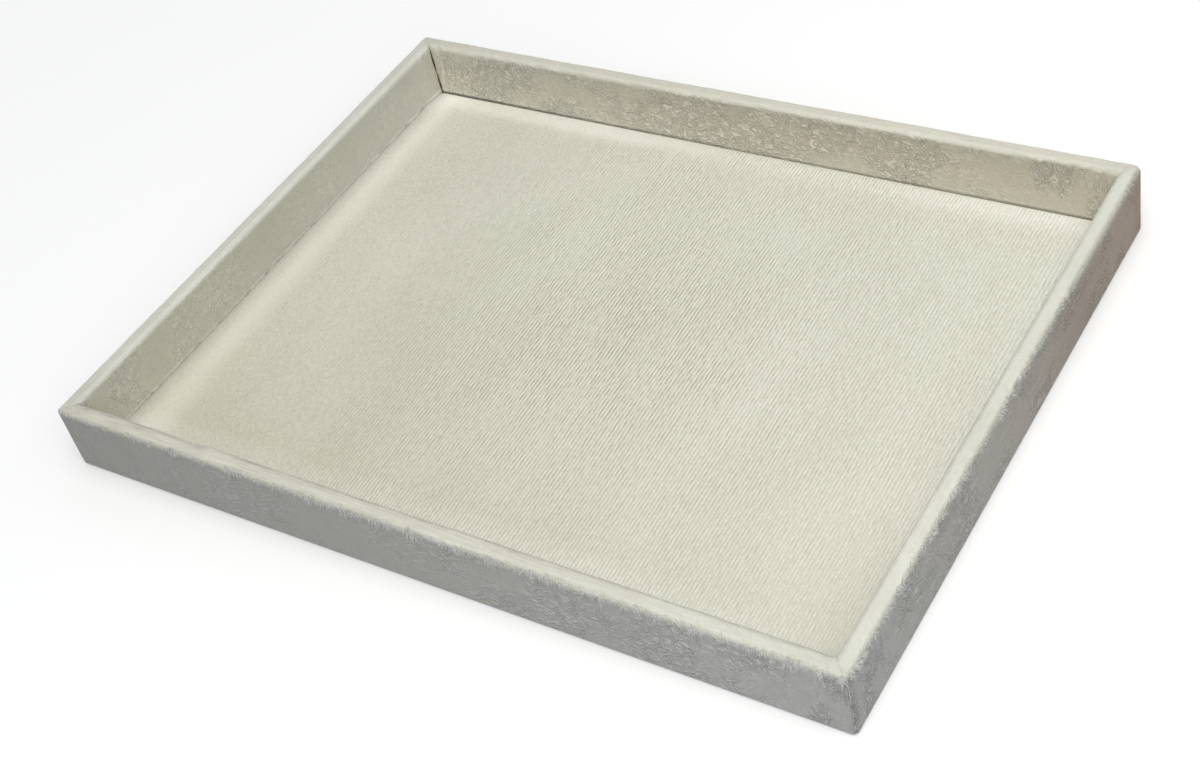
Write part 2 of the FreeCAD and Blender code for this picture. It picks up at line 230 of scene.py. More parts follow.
def to_mesh(bm, name):
    """Writes a bmesh to a new mesh and frees it."""
    mesh = bpy.data.meshes.new(name)
    bm.to_mesh(mesh)
    bm.free()
    return mesh


table_finish, tree = start_finish("studio_table")
white_face = add(tree, "ShaderNodeBsdfDiffuse", {"Color": TABLE_WHITE})
grey_face = add(tree, "ShaderNodeBsdfDiffuse", {"Color": TABLE_BOUNCE})
seen_or_lighting(tree, white_face, grey_face, "ShaderNodeOutputMaterial")

table_shape = flat_grid(1, 1, TABLE_REACH, TABLE_REACH)
bmesh.ops.translate(table_shape, verts=table_shape.verts, vec=(0, 0, -TABLE_DROP))
table = put_in_scene("studio_table", to_mesh(table_shape, "studio_table"))
table.data.materials.append(table_finish)
print("table:", 2 * TABLE_REACH, "m wide")

# %% [markdown]
# ## Crushed pile, shared by both velvets
# Pile that has been handled lies in little curls, with finer hairs over them and slow patches of shade where
# the nap leans another way. Curls like these are the contour lines of a noise: taking the noise several times
# over with a ping-pong folds it into winding ridges, and a power makes them thin. They keep to patches. The
# group puts out a shade for the colour and a height for the bump. Each velvet gives its own sizes, as numbers
# of features in a metre, and says how crushed and how fuzzy it is.

# %% Crushed pile
CURL_FOLDS = 4.6
CURL_THINNESS = 2.2
CURL_MEAN = 0.31
CURL_SHADE = 0.45
CURL_RISE = 1.4
NAP_SHADE = 0.40
PATCH_EDGE = (0.40, 0.58)
PATCH_CRUSH = (0.22, 1.15)
MIDDLE = 0.5

plus, minus, times = (partial(reckon, operation) for operation in ("ADD", "SUBTRACT", "MULTIPLY"))


def start_group(name, sizes):
    """An empty shader group that reads a vector and some sizes and gives a shade and a height."""
    group = bpy.data.node_groups.new(name, "ShaderNodeTree")
    sockets = [("Vector", "INPUT", "NodeSocketVector")]
    sockets += [(size, "INPUT", "NodeSocketFloat") for size in sizes]
    sockets += [(result, "OUTPUT", "NodeSocketFloat") for result in ("Shade", "Height")]
    for socket, way, kind in sockets:
        group.interface.new_socket(socket, in_out=way, socket_type=kind)
    return group, add(group, "NodeGroupInput").outputs


def spots(place, scale, detail=2.0, distortion=0.0):
    """A noise read at a place."""
    inputs = {"Vector": place, "Scale": scale, "Detail": detail, "Distortion": distortion}
    return add(place.id_data, "ShaderNodeTexNoise", inputs).outputs["Fac"]


def ranged(value, low, high, start, end):
    """A value that goes smoothly from start to end while another goes from low to high."""
    inputs = {"Value": value, "From Min": low, "From Max": high, "To Min": start, "To Max": end}
    node = add(value.id_data, "ShaderNodeMapRange", inputs, interpolation_type="SMOOTHSTEP")
    return node.outputs["Result"]


pile_group, given = start_group("crushed_pile", ("Curls", "Hairs", "Patches", "Crush", "Fuzz"))
curl_field = spots(given["Vector"], given["Curls"], 1.0, distortion=1.0)
winding = reckon("PINGPONG", times(curl_field, CURL_FOLDS), MIDDLE)
curls = reckon("POWER", times(winding, 2.0), CURL_THINNESS)
hairs = spots(given["Vector"], given["Hairs"])
patches = spots(given["Vector"], given["Patches"], 3.0)
patchy_curls = times(minus(curls, CURL_MEAN), ranged(patches, *PATCH_EDGE, *PATCH_CRUSH))
crushed_here = times(patchy_curls, given["Crush"])
hair_shade = times(minus(hairs, MIDDLE), given["Fuzz"])
nap_shade = times(minus(patches, MIDDLE), NAP_SHADE)
fine_shade = plus(times(crushed_here, CURL_SHADE), hair_shade)
pile_results = {
    "Shade": plus(plus(fine_shade, nap_shade), MIDDLE),
    "Height": plus(times(crushed_here, CURL_RISE), hairs),
}
add(pile_group, "NodeGroupOutput", pile_results)
print("group:", pile_group.name, len(pile_group.nodes), "nodes")

# %% [markdown]
# ## Plush for the walls
# The plush is a short warm white pile. It scatters light like felt and shines faintly at a glancing angle,
# which is what sheen is for. Sheen, roughness and the rest are plain numbers on the shader, so that other
# programs read them. What changes from place to place comes from the mesh: cloth is the place on the flat
# strip, before it was bent round a rail, so that streaks can run along it; one value says where the pile opens
# over the rim and brightens, which is partly painted light, and where painted shade darkens the seams, the groove
# and two inner folds and a painted highlight lightens the other two; streaked says where it is combed in lines,
# crushed where it lies in curls, and tint gives painted light and shade, with a painted warm reflection on the
# right wall. The locks of pile that stand off the rim have a simpler finish, with painted light that darkens
# towards their tips.

# %% Plush velvet
def carried(tree, name, output="Fac"):
    """What the mesh carries under a name."""
    return add(tree, "ShaderNodeAttribute", attribute_name=name).outputs[output]


def on_piece(tree):
    """The place on the piece itself."""
    return add(tree, "ShaderNodeTexCoord").outputs["Object"]


def drawn_out(place, scale):
    """A place scaled along each axis, so that a noise read there is drawn out along the smaller ones."""
    return add(place.id_data, "ShaderNodeMapping", {"Vector": place, "Scale": scale}).outputs["Vector"]


def coloured(value, *stops):
    """Runs a value through a ramp of (place, colour) stops."""
    ramp = add(value.id_data, "ShaderNodeValToRGB", {"Fac": value})
    marks = ramp.color_ramp.elements
    for mark, (place, colour) in zip(marks, (stops[0], stops[-1])):
        mark.position, mark.color = place, (*colour, 1)
    for place, colour in stops[1:-1]:
        marks.new(place).color = (*colour, 1)
    return ramp.outputs["Color"]


def tinted(colour):
    """A colour times the tint that the mesh carries, which is painted light and shade."""
    inputs = {0: colour, 1: carried(colour.id_data, "tint", "Vector")}
    return add(colour.id_data, "ShaderNodeVectorMath", inputs, operation="MULTIPLY").outputs["Vector"]


def bumped(height, depth, strength=1.0):
    """A height raised as bump, in metres at its full depth."""
    inputs = {"Height": height, "Distance": depth, "Strength": strength}
    return add(height.id_data, "ShaderNodeBump", inputs).outputs["Normal"]


def end_finish(colour, normal, roughness, sheen=0.0, specular=0.3, metal=0.0):
    """Ends a finish with its shader, which has a colour, perhaps a bump, and plain numbers."""
    inputs = {
        "Base Color": colour, "Roughness": roughness, "Metallic": metal, "Specular IOR Level": specular,
        "Sheen Weight": sheen, "Sheen Roughness": 0.45,
    }
    if normal is not None:
        inputs["Normal"] = normal
    shader = add(colour.id_data, "ShaderNodeBsdfPrincipled", inputs)
    add(colour.id_data, "ShaderNodeOutputMaterial", {"Surface": shader.outputs["BSDF"]})


PLUSH_PILE = {"Curls": 260, "Hairs": 1900, "Patches": 40, "Fuzz": 0.48}
PLUSH_SHADER = {"roughness": 0.95, "sheen": 0.22, "specular": 0.15}
STREAKS_PER_METRE = 1300
STREAK_DRAW = (0.06, 1, 1)
STREAK_SHADE = 0.8
RIM_PALER = 0.28
TIP_HAIRS = 1700
TIP_HAIR_SHADE = 0.3

plush, tree = start_finish("plush_velvet")
on_cloth = carried(tree, "cloth", "Vector")
pile_inputs = {"Vector": on_cloth, "Crush": carried(tree, "crushed"), **PLUSH_PILE}
pile = add(tree, "ShaderNodeGroup", pile_inputs, node_tree=pile_group).outputs
streaks = spots(drawn_out(on_cloth, STREAK_DRAW), STREAKS_PER_METRE)
combed = times(minus(streaks, MIDDLE), carried(tree, "streaked"))
# The rim's paleness is partly painted light; seams, the groove and the inner folds carry painted shade and
# highlight.
opened_pile_and_painted_light = plus(times(carried(tree, "pale_pile_and_painted_light"), RIM_PALER), times(combed, STREAK_SHADE))
plush_colour = coloured(
    plus(pile["Shade"], opened_pile_and_painted_light),
    (0.15, (0.450, 0.435, 0.370)), (0.50, (0.610, 0.598, 0.522)), (0.95, (0.755, 0.750, 0.680)),
)
end_finish(tinted(plush_colour), bumped(pile["Height"], 0.30 * MM, 0.8), **PLUSH_SHADER)

tips, tree = start_finish("plush_tips")
tip_shade = plus(carried(tree, "pale_pile_and_painted_light"), times(spots(on_piece(tree), TIP_HAIRS), TIP_HAIR_SHADE))
tip_colour = coloured(tip_shade, (0.15, (0.52, 0.51, 0.45)), (1.0, (0.90, 0.895, 0.83)))
end_finish(tip_colour, None, **PLUSH_SHADER)
print("finish:", plush.name, tips.name)

# %% [markdown]
# ## Ribbed velvet for the pad
# The pad's velvet is woven in fine ribs. The ribs themselves are modelled further down, so the material only
# darkens the valleys with painted shade, where pile shades pile, by reading an attribute that the mesh carries
# for it. Small worn spots, drawn out along the ribs, break the lines up. A second attribute, nap, makes the pile
# paler in its pressed border and, as painted light, towards the right, and a third tints it with painted light
# and shade.

# %% Ribbed velvet
PAD_PILE = {"Curls": 420, "Hairs": 1500, "Patches": 22, "Crush": 0.15, "Fuzz": 0.85}
PAD_PILE_SHADE = 0.85
ALONG_RIBS = (1, 0.45, 1)
WORN_SPOTS = 750
WORN_EDGE = (0.36, 0.64)
WORN_TO_WHOLE = (0.05, 1.0)

ribbed, tree = start_finish("ribbed_velvet")
along_rib = drawn_out(on_piece(tree), ALONG_RIBS)
pile = add(tree, "ShaderNodeGroup", {"Vector": along_rib, **PAD_PILE}, node_tree=pile_group).outputs
unworn = ranged(spots(along_rib, WORN_SPOTS), *WORN_EDGE, *WORN_TO_WHOLE)
soft_pile = times(minus(pile["Shade"], MIDDLE), PAD_PILE_SHADE)
fine_part = plus(times(carried(tree, "rib"), unworn), soft_pile)
ribbed_colour = coloured(
    plus(fine_part, carried(tree, "nap_and_painted_light")),
    (0.00, (0.370, 0.354, 0.272)), (0.50, (0.595, 0.578, 0.468)), (1.00, (0.740, 0.726, 0.622)),
)
end_finish(tinted(ribbed_colour), bumped(pile["Height"], 0.2 * MM, 0.6), 0.95, 0.18, 0.15)
print("finish:", ribbed.name)

# %% [markdown]
# ## Pressed fibre, shared by boards, card and felt
# Hardboard, fibreboard, grey board and felt are all fibres pressed flat. Seen close, they have long flecks and
# a fine grain. The flecks are a noise stretched by its own distortion. Each material has its own numbers of
# flecks and grains in a metre, a dark and a pale colour, a depth and a roughness, and felt has some sheen.

# %% Pressed fibre
FLECK_SHARE = 0.6
GRAIN_SHARE = 0.4
FIBRE_RANGE = (0.32, 0.68)
FIBRES = {
    "hardboard": (160, 1400, (0.105, 0.052, 0.024), (0.215, 0.120, 0.062), 0.12 * MM, 0.6),
    "fibreboard": (260, 1800, (0.16, 0.115, 0.070), (0.30, 0.225, 0.145), 0.15 * MM, 0.85),
    "grey_board": (220, 1100, (0.23, 0.215, 0.185), (0.36, 0.345, 0.305), 0.12 * MM, 0.9),
    "felt_lining": (420, 2200, (0.40, 0.375, 0.315), (0.58, 0.555, 0.485), 0.25 * MM, 0.95, 0.15),
}

fibre_group, given = start_group("pressed_fibre", ("Flecks", "Grain"))
flecks = times(spots(given["Vector"], given["Flecks"], 4.0, distortion=2.5), FLECK_SHARE)
mixed = plus(flecks, times(spots(given["Vector"], given["Grain"]), GRAIN_SHARE))
add(fibre_group, "NodeGroupOutput", {"Shade": mixed, "Height": mixed})


def fibre_finish(name, flecks, grain, dark, pale, depth, roughness, sheen=0.0):
    """A pressed-fibre material between a dark and a pale colour."""
    finish, tree = start_finish(name)
    inputs = {"Vector": on_piece(tree), "Flecks": flecks, "Grain": grain}
    fibre = add(tree, "ShaderNodeGroup", inputs, node_tree=fibre_group).outputs
    colour = coloured(fibre["Shade"], (FIBRE_RANGE[0], dark), (FIBRE_RANGE[1], pale))
    end_finish(colour, bumped(fibre["Height"], depth), roughness, sheen)
    return finish


fibres = {name: fibre_finish(name, *values) for name, values in FIBRES.items()}
print("finish:", *fibres)

# %% [markdown]
# ## Sponge and wire
# The pad's thin sponge is a mass of small cells, so Voronoi cells give its pits. The brads are drawn wire with
# fine lines along it, which a noise squeezed by a Mapping node gives.

# %% Sponge and steel wire
SPONGE_CELLS = 1500
WIRE_LINES = 6000
ALONG_WIRE = (1, 1, 0.04)

sponge, tree = start_finish("sponge")
cell_inputs = {"Vector": on_piece(tree), "Scale": SPONGE_CELLS}
cells = add(tree, "ShaderNodeTexVoronoi", cell_inputs).outputs["Distance"]
sponge_colour = coloured(cells, (0.05, (0.52, 0.50, 0.43)), (0.55, (0.76, 0.75, 0.68)))
end_finish(sponge_colour, bumped(cells, 0.4 * MM), 0.9)

wire, tree = start_finish("steel_wire")
drawn_lines = spots(drawn_out(on_piece(tree), ALONG_WIRE), WIRE_LINES)
wire_colour = coloured(drawn_lines, (0.3, (0.42, 0.42, 0.43)), (0.7, (0.62, 0.62, 0.63)))
end_finish(wire_colour, bumped(drawn_lines, 0.02 * MM), 0.35, specular=0.5, metal=1.0)
print("finish:", sponge.name, wire.name)

# %% [markdown]
# ## Boards, card and brads
# These solids have the right shape as they are. Only their material is changed, in the slot that came with
# them. The sides are named anticlockwise from the front, as everything that goes round the tray is from here on.

# %% Finishes on the solids
SIDES = ("front", "right", "back", "left")
solid_finishes = {side + "_rail": fibres["fibreboard"] for side in SIDES}
solid_finishes |= {"base_board": fibres["hardboard"], "pad_card": fibres["grey_board"]}
solid_finishes |= {"corner_brads": wire, "base_brads": wire}
for node_name, finish in solid_finishes.items():
    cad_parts[node_name].material_slots[0].material = finish
print("solids:", len(solid_finishes), "given a finish")

# %% [markdown]
# ## The cloth's path round a rail
# Each wall has one strip of plush, glued under the board, up the outside, over the rim and down the inside.
# Seen from the end that is a path with four straights and three rounded folds. It starts as five vertices;
# a vertex bevel rounds the folds and subdividing gives the straights enough points to take the pile's relief.
# The sizes are read from the solids: the cloth is what the wrap stands proud of the rail.

# %% Cloth path
rail_low, rail_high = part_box("front_rail")
wrap_low, wrap_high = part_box("front_wrap")
HALF_LENGTH = cad_box[1].x
HALF_DEPTH = cad_box[1].y
RIM_TOP = wrap_high.z
CLOTH = rail_low.y - wrap_low.y
RIM_WIDTH = rail_high.y - rail_low.y + 2 * CLOTH
TURN_EDGE = wrap_high.y - wrap_low.y
UNDER_SIDE = wrap_low.z
BOARD_TOP = rail_low.z
FOLD_ROUNDS = (0.7 * MM, 2.1 * MM, 1.9 * MM)
FOLD_STEPS = 6
GRAIN_STEP = 0.8 * MM


def cloth_path():
    """The path as edges: y is the depth in from the outer face, z the height."""
    stops = (
        (TURN_EDGE, UNDER_SIDE), (0, UNDER_SIDE), (0, RIM_TOP), (RIM_WIDTH, RIM_TOP), (RIM_WIDTH, BOARD_TOP)
    )
    bm = bmesh.new()
    points = [bm.verts.new((0, depth, height)) for depth, height in stops]
    for start, end in zip(points, points[1:]):
        bm.edges.new((start, end))
    for corner, fold in zip(points[1:4], FOLD_ROUNDS):
        bmesh.ops.bevel(
            bm, geom=[corner], offset=fold, offset_type="OFFSET", segments=FOLD_STEPS,
            profile=0.5, affect="VERTICES", material=-1,
        )
    for edge in list(bm.edges):
        cuts = round(edge.calc_length() / GRAIN_STEP) - 1
        if cuts > 0:
            bmesh.ops.subdivide_edges(bm, edges=[edge], cuts=cuts)
    return bm


path = cloth_path()
path.free()

# %% [markdown]
# ## One strip with mitred, rounded ends
# The path is drawn out along the wall and cut across by an edge ring. Each end then has to meet its neighbour
# on the corner's diagonal and go round the outside corner, so every lengthwise line is laid along its own
# course: straight, then an arc whose radius shrinks with depth. Points are drawn closer near the ends, where
# the seams need them.

# %% Strip
END_CROWDING = 0.35
STRIP_STEP = 0.74 * MM


def strip(half_run, shift):
    """The path drawn out to a whole wall, still straight, from -half_run to half_run."""
    bm = cloth_path()
    bmesh.ops.translate(bm, verts=bm.verts, vec=(-half_run, 0, 0))
    drawn = bmesh.ops.extrude_edge_only(bm, edges=bm.edges[:])["geom"]
    far_end = [item for item in drawn if isinstance(item, bmesh.types.BMVert)]
    bmesh.ops.translate(bm, verts=far_end, vec=(2 * half_run, 0, 0))
    lengthwise = [edge for edge in bm.edges if edge.calc_length() > half_run]
    cuts = round(2 * half_run / STRIP_STEP) - 1
    bmesh.ops.subdivide_edgering(bm, edges=lengthwise, cuts=cuts, interp_mode="LINEAR", smooth=0)
    bmesh.ops.recalc_face_normals(bm, faces=bm.faces)
    cloth_layer = bm.verts.layers.float_vector.new("cloth")
    for vert in bm.verts:
        vert[cloth_layer] = vert.co + shift
    return bm


def lay_to_corners(bm, half_run, corner_rounds):
    """Moves each point along its own course, so that the ends lie on the corners' diagonals."""
    for vert in bm.verts:
        share = vert.co.x / half_run
        share *= 1 + END_CROWDING * (1 - share * share)
        corner = corner_rounds[share > 0]
        depth = vert.co.y
        arc = max(corner - depth, 0)
        straight = half_run - max(corner, depth)
        along = abs(share) * (straight + arc * math.pi / 4)
        if along > straight and arc > 0:
            turn = (along - straight) / arc
            along = straight + arc * math.sin(turn)
            depth = corner - arc * math.cos(turn)
        vert.co.x = math.copysign(along, share)
        vert.co.y = depth


print("strip: ends crowded by", END_CROWDING)

# %% [markdown]
# ## Seams
# Cloth wrapped by hand is never quite flat. In the back left inside corner the two cut edges gape, so a dark slit
# shows, which wanders from side to side. At the front corners the plush bulges into the angle instead and rounds
# it off. These are small moves of the points that lie near a corner, as a sculpting brush would make them,
# because no operator knows what a hand did. The corners are numbered by the side that starts at them.

# %% Open corners
CORNER_ROUNDS = (1.3 * MM, 1.5 * MM, 3.2 * MM, 1.5 * MM)
CORNER_GAPS = (0.05 * MM, 0.05 * MM, 0.05 * MM, 0.10 * MM)
GAP_REACH = 7 * MM
GAP_BELOW_RIM = (2.2 * MM, 0.6 * MM)
GAP_AT_FOOT = 0.3
GAP_WIDENS = 0.4
GAP_WANDER = 5.0
GAP_WAVES = 7
INNER_FACE = 1.2 * MM
CORNER_FILLS = (0.3 * MM, 0.65 * MM, 0.0, 0.0)
FILL_REACH = 3.2 * MM
FILL_BELOW_RIM = (9 * MM, 2 * MM)


def smooth_step(low, high, value):
    """0 at low and before it, 1 at high and past it, and an even curve between."""
    share = min(max((value - low) / (high - low), 0.0), 1.0)
    return share * share * (3 - 2 * share)


def near_rim(vert, far, near):
    """0 at a far distance below the rim's top and 1 at a near one."""
    return smooth_step(RIM_TOP - far, RIM_TOP - near, vert.co.z)


def from_mitre(vert, half_run):
    """How far along the wall a point lies from the corner's diagonal."""
    return half_run - vert.co.y - abs(vert.co.x)


def up_wall(z):
    """0 at the board and 1 at the rim's top."""
    return (z - BOARD_TOP) / (RIM_TOP - BOARD_TOP)


def open_corner(vert, half_run, gaps):
    """Draws the inner face back from the corner where the two cut edges gape."""
    to_corner = from_mitre(vert, half_run)
    on_inner_face = vert.co.y > RIM_WIDTH - INNER_FACE and vert.co.z > BOARD_TOP - 0.1 * MM
    if not on_inner_face or to_corner > GAP_REACH:
        return
    height = up_wall(vert.co.z)
    wander = math.copysign(GAP_WANDER, vert.co.x) * math.sin(GAP_WAVES * height)
    gap = gaps[vert.co.x > 0] * (GAP_AT_FOOT + GAP_WIDENS * height + wander)
    gap *= 1 - near_rim(vert, *GAP_BELOW_RIM)
    drawn_back = gap * (1 - to_corner / GAP_REACH) ** 2
    vert.co.x -= math.copysign(drawn_back, vert.co.x)


def fill_corner(vert, half_run, fills):
    """Lets the rim's cloth bulge into the inside corner, which rounds it off."""
    to_corner = from_mitre(vert, half_run)
    if to_corner > FILL_REACH:
        return
    on_inner_half = smooth_step(RIM_WIDTH / 2, RIM_WIDTH - MM, vert.co.y)
    bulge = fills[vert.co.x > 0] * (1 - to_corner / FILL_REACH) ** 2
    bulge *= on_inner_half * near_rim(vert, *FILL_BELOW_RIM)
    vert.co.x -= math.copysign(bulge, vert.co.x)
    vert.co.y += bulge


print("corners: gaps up to", max(CORNER_GAPS) / MM, "mm, filled by up to", max(CORNER_FILLS) / MM, "mm")

# %% [markdown]
# ## How each wall is worn and painted with light
# No two walls are handled alike. The back and the right end of the front are crushed into curls and the left wall
# is almost smooth. The tints are painted light and shade: each wall is painted darker or paler where the room's
# light falls less or more, the right wall is painted browner towards the back as a warm reflection, with painted
# shade over the fold of its rim there, and that painted warm tint goes a little way round the back right corner.
# Inside, painted light makes the pile paler at a wall's foot and in the corners, and painted shade darkens the
# gap behind the pad at the back. Each row of values goes from a wall's left end to its right end, seen from
# outside, and foot_to_top goes up the wall.

# %% Wear and painted light of each wall
def each_wall(front, right, back, left):
    """One value for each wall."""
    return dict(zip(SIDES, (front, right, back, left)))


def tints(*row):
    """A row of tints, as vectors that can be blended."""
    return [Vector(tint) for tint in row]


NONE = (0, 0)
PLAIN = tints((1, 1, 1), (1, 1, 1))
# Painted light and shade on the outer faces, with a painted warm reflection browning the right wall at the back.
OUTER_PAINTED_LIGHT = each_wall(
    tints((0.75, 0.745, 0.76), (0.855, 0.85, 0.85), (0.975, 0.97, 1.01)),
    tints(
        (0.85, 0.855, 0.885), (0.835, 0.81, 0.80), (0.825, 0.77, 0.735), (0.695, 0.575, 0.51), (0.82, 0.65, 0.55)
    ),
    tints((0.86, 0.73, 0.65), (0.95, 0.91, 0.88), (1, 1, 1), (1, 1, 1)),
    PLAIN,
)
# Painted light and shade on the inner faces.
INNER_PAINTED_LIGHT = each_wall(
    PLAIN, PLAIN,
    tints((1.0, 0.93, 0.84), (1.06, 0.985, 0.90), (1.07, 1.03, 0.97)),
    tints((1.05, 1.035, 1.01), (0.92, 0.90, 0.835), (1.0, 0.97, 0.905)),
)
# Painted light and shade from the foot of an inner face up to its top.
FOOT_TO_TOP = each_wall(
    PLAIN, PLAIN,
    tints((1.07, 1.10, 1.12), (1, 1, 1), (0.87, 0.885, 0.88)),
    tints((1.05, 1.05, 1.08), (1, 1, 1), (0.97, 0.97, 0.97)),
)
# Painted light and shade on the rims.
RIM_PAINTED_LIGHT = each_wall(
    tints((0.92, 0.89, 0.83), (0.935, 0.925, 0.885)),
    tints((1, 1, 0.97), (1, 1, 0.97)),
    tints((0.96, 0.945, 0.88), (0.96, 0.945, 0.88)),
    tints((1.0, 0.985, 0.96), (0.95, 0.935, 0.90)),
)
# Painted shade on the outer fold of the right rim.
FOLD_PAINTED_SHADE = Vector((0.82, 0.79, 0.75))

CRUSHED = each_wall((0.45, 0.8, 1.6), (1.6, 1.1), (1.6, 1.5), (0.35, 0.4, 0.9))
STREAKED = each_wall((1.5, 0.7), (0.45, 0.35), (0.5, 0.35), (0.4, 0.5))
FRINGED = each_wall((0.55, 1.05, 1.0), (0.75, 0.5, 0.15), (0.25, 0.25), (0.25, 0.3))
# How much paler the open pile over each rim is, partly painted light.
RIM_OPENED_AND_PAINTED_LIGHT = each_wall((0.42, 0.70), (0.70, 0.15, 0.40, 0.65), (0.40, 0.25), (0.15, 0.25))
GROOVED = each_wall((1.0, 0.8, 0.2), NONE, NONE, NONE)
# Painted shade in the gap behind the pad.
GAP_PAINTED_SHADE = each_wall(NONE, NONE, (0.45, 0.25, 0.75), NONE)
# How far in from the outer face the painted shade on the right rim's fold reaches.
FOLD_SHADE_INSET = {"right": (0.7 * MM, 0.9 * MM, 1.25 * MM)}

PAD_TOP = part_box("pad_cover")[1].z
FOOT_HEIGHT = each_wall(PAD_TOP, PAD_TOP, PAD_TOP - 1.0 * MM, PAD_TOP + 0.2 * MM)
# Painted light at the foot of the back and left walls.
FOOT_PAINTED_LIGHT = each_wall(0.0, 0.0, 0.34, 0.40)
FOOT_FADE = each_wall(0.9 * MM, 0.9 * MM, 0.9 * MM, 0.4 * MM)
# Painted light in the inside corners.
CORNER_PAINTED_LIGHT = each_wall(0.0, 0.0, 0.40, 0.08)
OUTER_PILE_REACH = each_wall(3.5 * MM, 5.0 * MM, 3.5 * MM, 3.5 * MM)
INNER_PILE_REACH = 2.0 * MM
# Painted shade on the front and right inner folds, painted highlight on the back and left ones.
INNER_FOLD_PAINTED_LIGHT = each_wall(-1.2, -0.6, 0.6, 0.8)
INNER_RAGGED = each_wall(0.2, 0.2, 1.9, 0.7)
SLACK_DEPTH = each_wall(0.12 * MM, 0.04 * MM, 0.12 * MM, 0.12 * MM)
# Painted shade along the seam at each outside corner.
SEAM_PAINTED_SHADES = (0.2, 1.7, 0.3, 0.2)
print("wear:", len(CRUSHED), "walls, slack of", in_mm(SLACK_DEPTH.values()), "mm")

# %% [markdown]
# ## Wear pressed into the cloth
# Slow noise gives the slack over the board, quicker noise the curls and creases. The folds of the rim are ragged
# where its pile is long, and a groove runs along the front one. At each mitre the cut edges sink a little and
# leave a seam. All of it moves a point along its normal, and the same values are left on the mesh for the plush
# to read, with painted shade along the outside seams, in the groove and on the front and right inner folds, a
# painted highlight on the back and left inner folds, and the rims painted partly paler. The first helper says
# which part of the wall a point belongs to, the next how far it is raised, and the third what painted light and
# shade the wall has inside.

# %% Wear on the cloth
RIM_EDGE = 0.7 * MM
OUTER_FOLD = (3 * MM, 1 * MM)
INNER_FOLD = (RIM_WIDTH - 2.4 * MM, RIM_WIDTH - 1.2 * MM)
INNER_FOLD_DROP = (2.6 * MM, 1.4 * MM)
INSIDE = (RIM_WIDTH / 2 - MM, RIM_WIDTH / 2 + MM)
SLACK_SIZE = 17 * MM
CURL_SIZE, FINE_CURL_SIZE = 2.0 * MM, 1.2 * MM
FINE_CURL_SHARE = 0.6
CURL_DEPTH = 0.03 * MM
CREASE_SIZES = (9, 2, 1.6)
CREASE_DEPTH = 0.035 * MM
OUTER_RAGGED_SIZE = 2.6 * MM
INNER_RAGGED_SIZES = (6, 3, 3)
RAGGED_DEPTH = 0.35 * MM
RIM_LESS_CRUSHED = 0.85
GROOVE_DEPTH = 0.22 * MM
GROOVE_PLACE = 4.7 * MM
GROOVE_WIDTH = 0.4 * MM
GROOVE_WAVER, GROOVE_WAVE = 0.5 * MM, 25 * MM
# Painted shade in the groove.
GROOVE_PAINTED_SHADE = 0.7
SEAM_DEPTH = 0.45 * MM
SEAM_WIDTH = 0.55 * MM
RIM_SEAM_SHARE = 0.35
INNER_SEAM_LESS = 0.75
GLUED_TO_FREE = (1.5 * MM, 2.5 * MM)
OPENED_UNEVEN, OPENED_SIZE = 0.3, 3 * MM
CORNER_PAINTED_LIGHT_REACH = 8 * MM
GAP_EDGE = (0.2 * MM, -0.5 * MM)


def between(row, share):
    """A value part of the way along a row of evenly spaced ones."""
    place = min(max(share, 0.0), 1.0) * (len(row) - 1)
    start = min(int(place), len(row) - 2)
    return row[start] + (row[start + 1] - row[start]) * (place - start)


def bell(distance, width):
    """1 at no distance, falling off evenly on both sides."""
    return math.exp(-((distance / width) ** 2))


def long_noise(spot, sizes):
    """Noise whose lumps have their own size, in millimetres, along each axis."""
    return noise.noise(Vector([place / size for place, size in zip(spot, sizes)]) / MM)


def zones(vert, side, share):
    """A point's shares in the rim, in the painted shade on its outer fold, in both folds and in the inside."""
    reach = INNER_PILE_REACH if vert.co.y > RIM_WIDTH / 2 else OUTER_PILE_REACH[side]
    at_rim = near_rim(vert, reach, RIM_EDGE)
    painted_fold_shade = 0.0
    if side in FOLD_SHADE_INSET:
        painted_fold_shade = at_rim * smooth_step(-MM, MM, between(FOLD_SHADE_INSET[side], share) - vert.co.y)
    at_rim -= painted_fold_shade
    outer_fold = at_rim * smooth_step(*OUTER_FOLD, vert.co.y)
    inner_fold = smooth_step(*INNER_FOLD, vert.co.y) * near_rim(vert, *INNER_FOLD_DROP)
    return at_rim, painted_fold_shade, outer_fold, inner_fold, smooth_step(*INSIDE, vert.co.y)


def raised_at(spot, side, share, crush, at_rim, outer_fold, inner_fold):
    """How far slack, curls, creases and ragged pile lift the cloth at a spot."""
    slack = SLACK_DEPTH[side] * (1 + at_rim) * noise.noise(spot / SLACK_SIZE)
    curl = noise.noise(spot / CURL_SIZE) + FINE_CURL_SHARE * noise.noise(spot / FINE_CURL_SIZE)
    crease = long_noise(spot, CREASE_SIZES)
    ragged = outer_fold * between(FRINGED[side], share) * noise.noise(spot / OUTER_RAGGED_SIZE)
    ragged += inner_fold * INNER_RAGGED[side] * long_noise(spot, INNER_RAGGED_SIZES)
    return slack + (CURL_DEPTH * curl + CREASE_DEPTH * crease) * crush + RAGGED_DEPTH * ragged


def inner_painted_light(z, to_corner, side, share):
    """The painted light and shade inside a wall: paler at the foot and in the corners, dark in the gap behind the
    pad.
    """
    over_pad = z - FOOT_HEIGHT[side]
    lift = 1 + CORNER_PAINTED_LIGHT[side] * math.exp(-to_corner / CORNER_PAINTED_LIGHT_REACH)
    lift *= 1 + FOOT_PAINTED_LIGHT[side] * math.exp(-max(over_pad, 0) / FOOT_FADE[side])
    lift *= 1 - between(GAP_PAINTED_SHADE[side], share) * smooth_step(*GAP_EDGE, over_pad)
    return between(INNER_PAINTED_LIGHT[side], share) * between(FOOT_TO_TOP[side], up_wall(z)) * lift


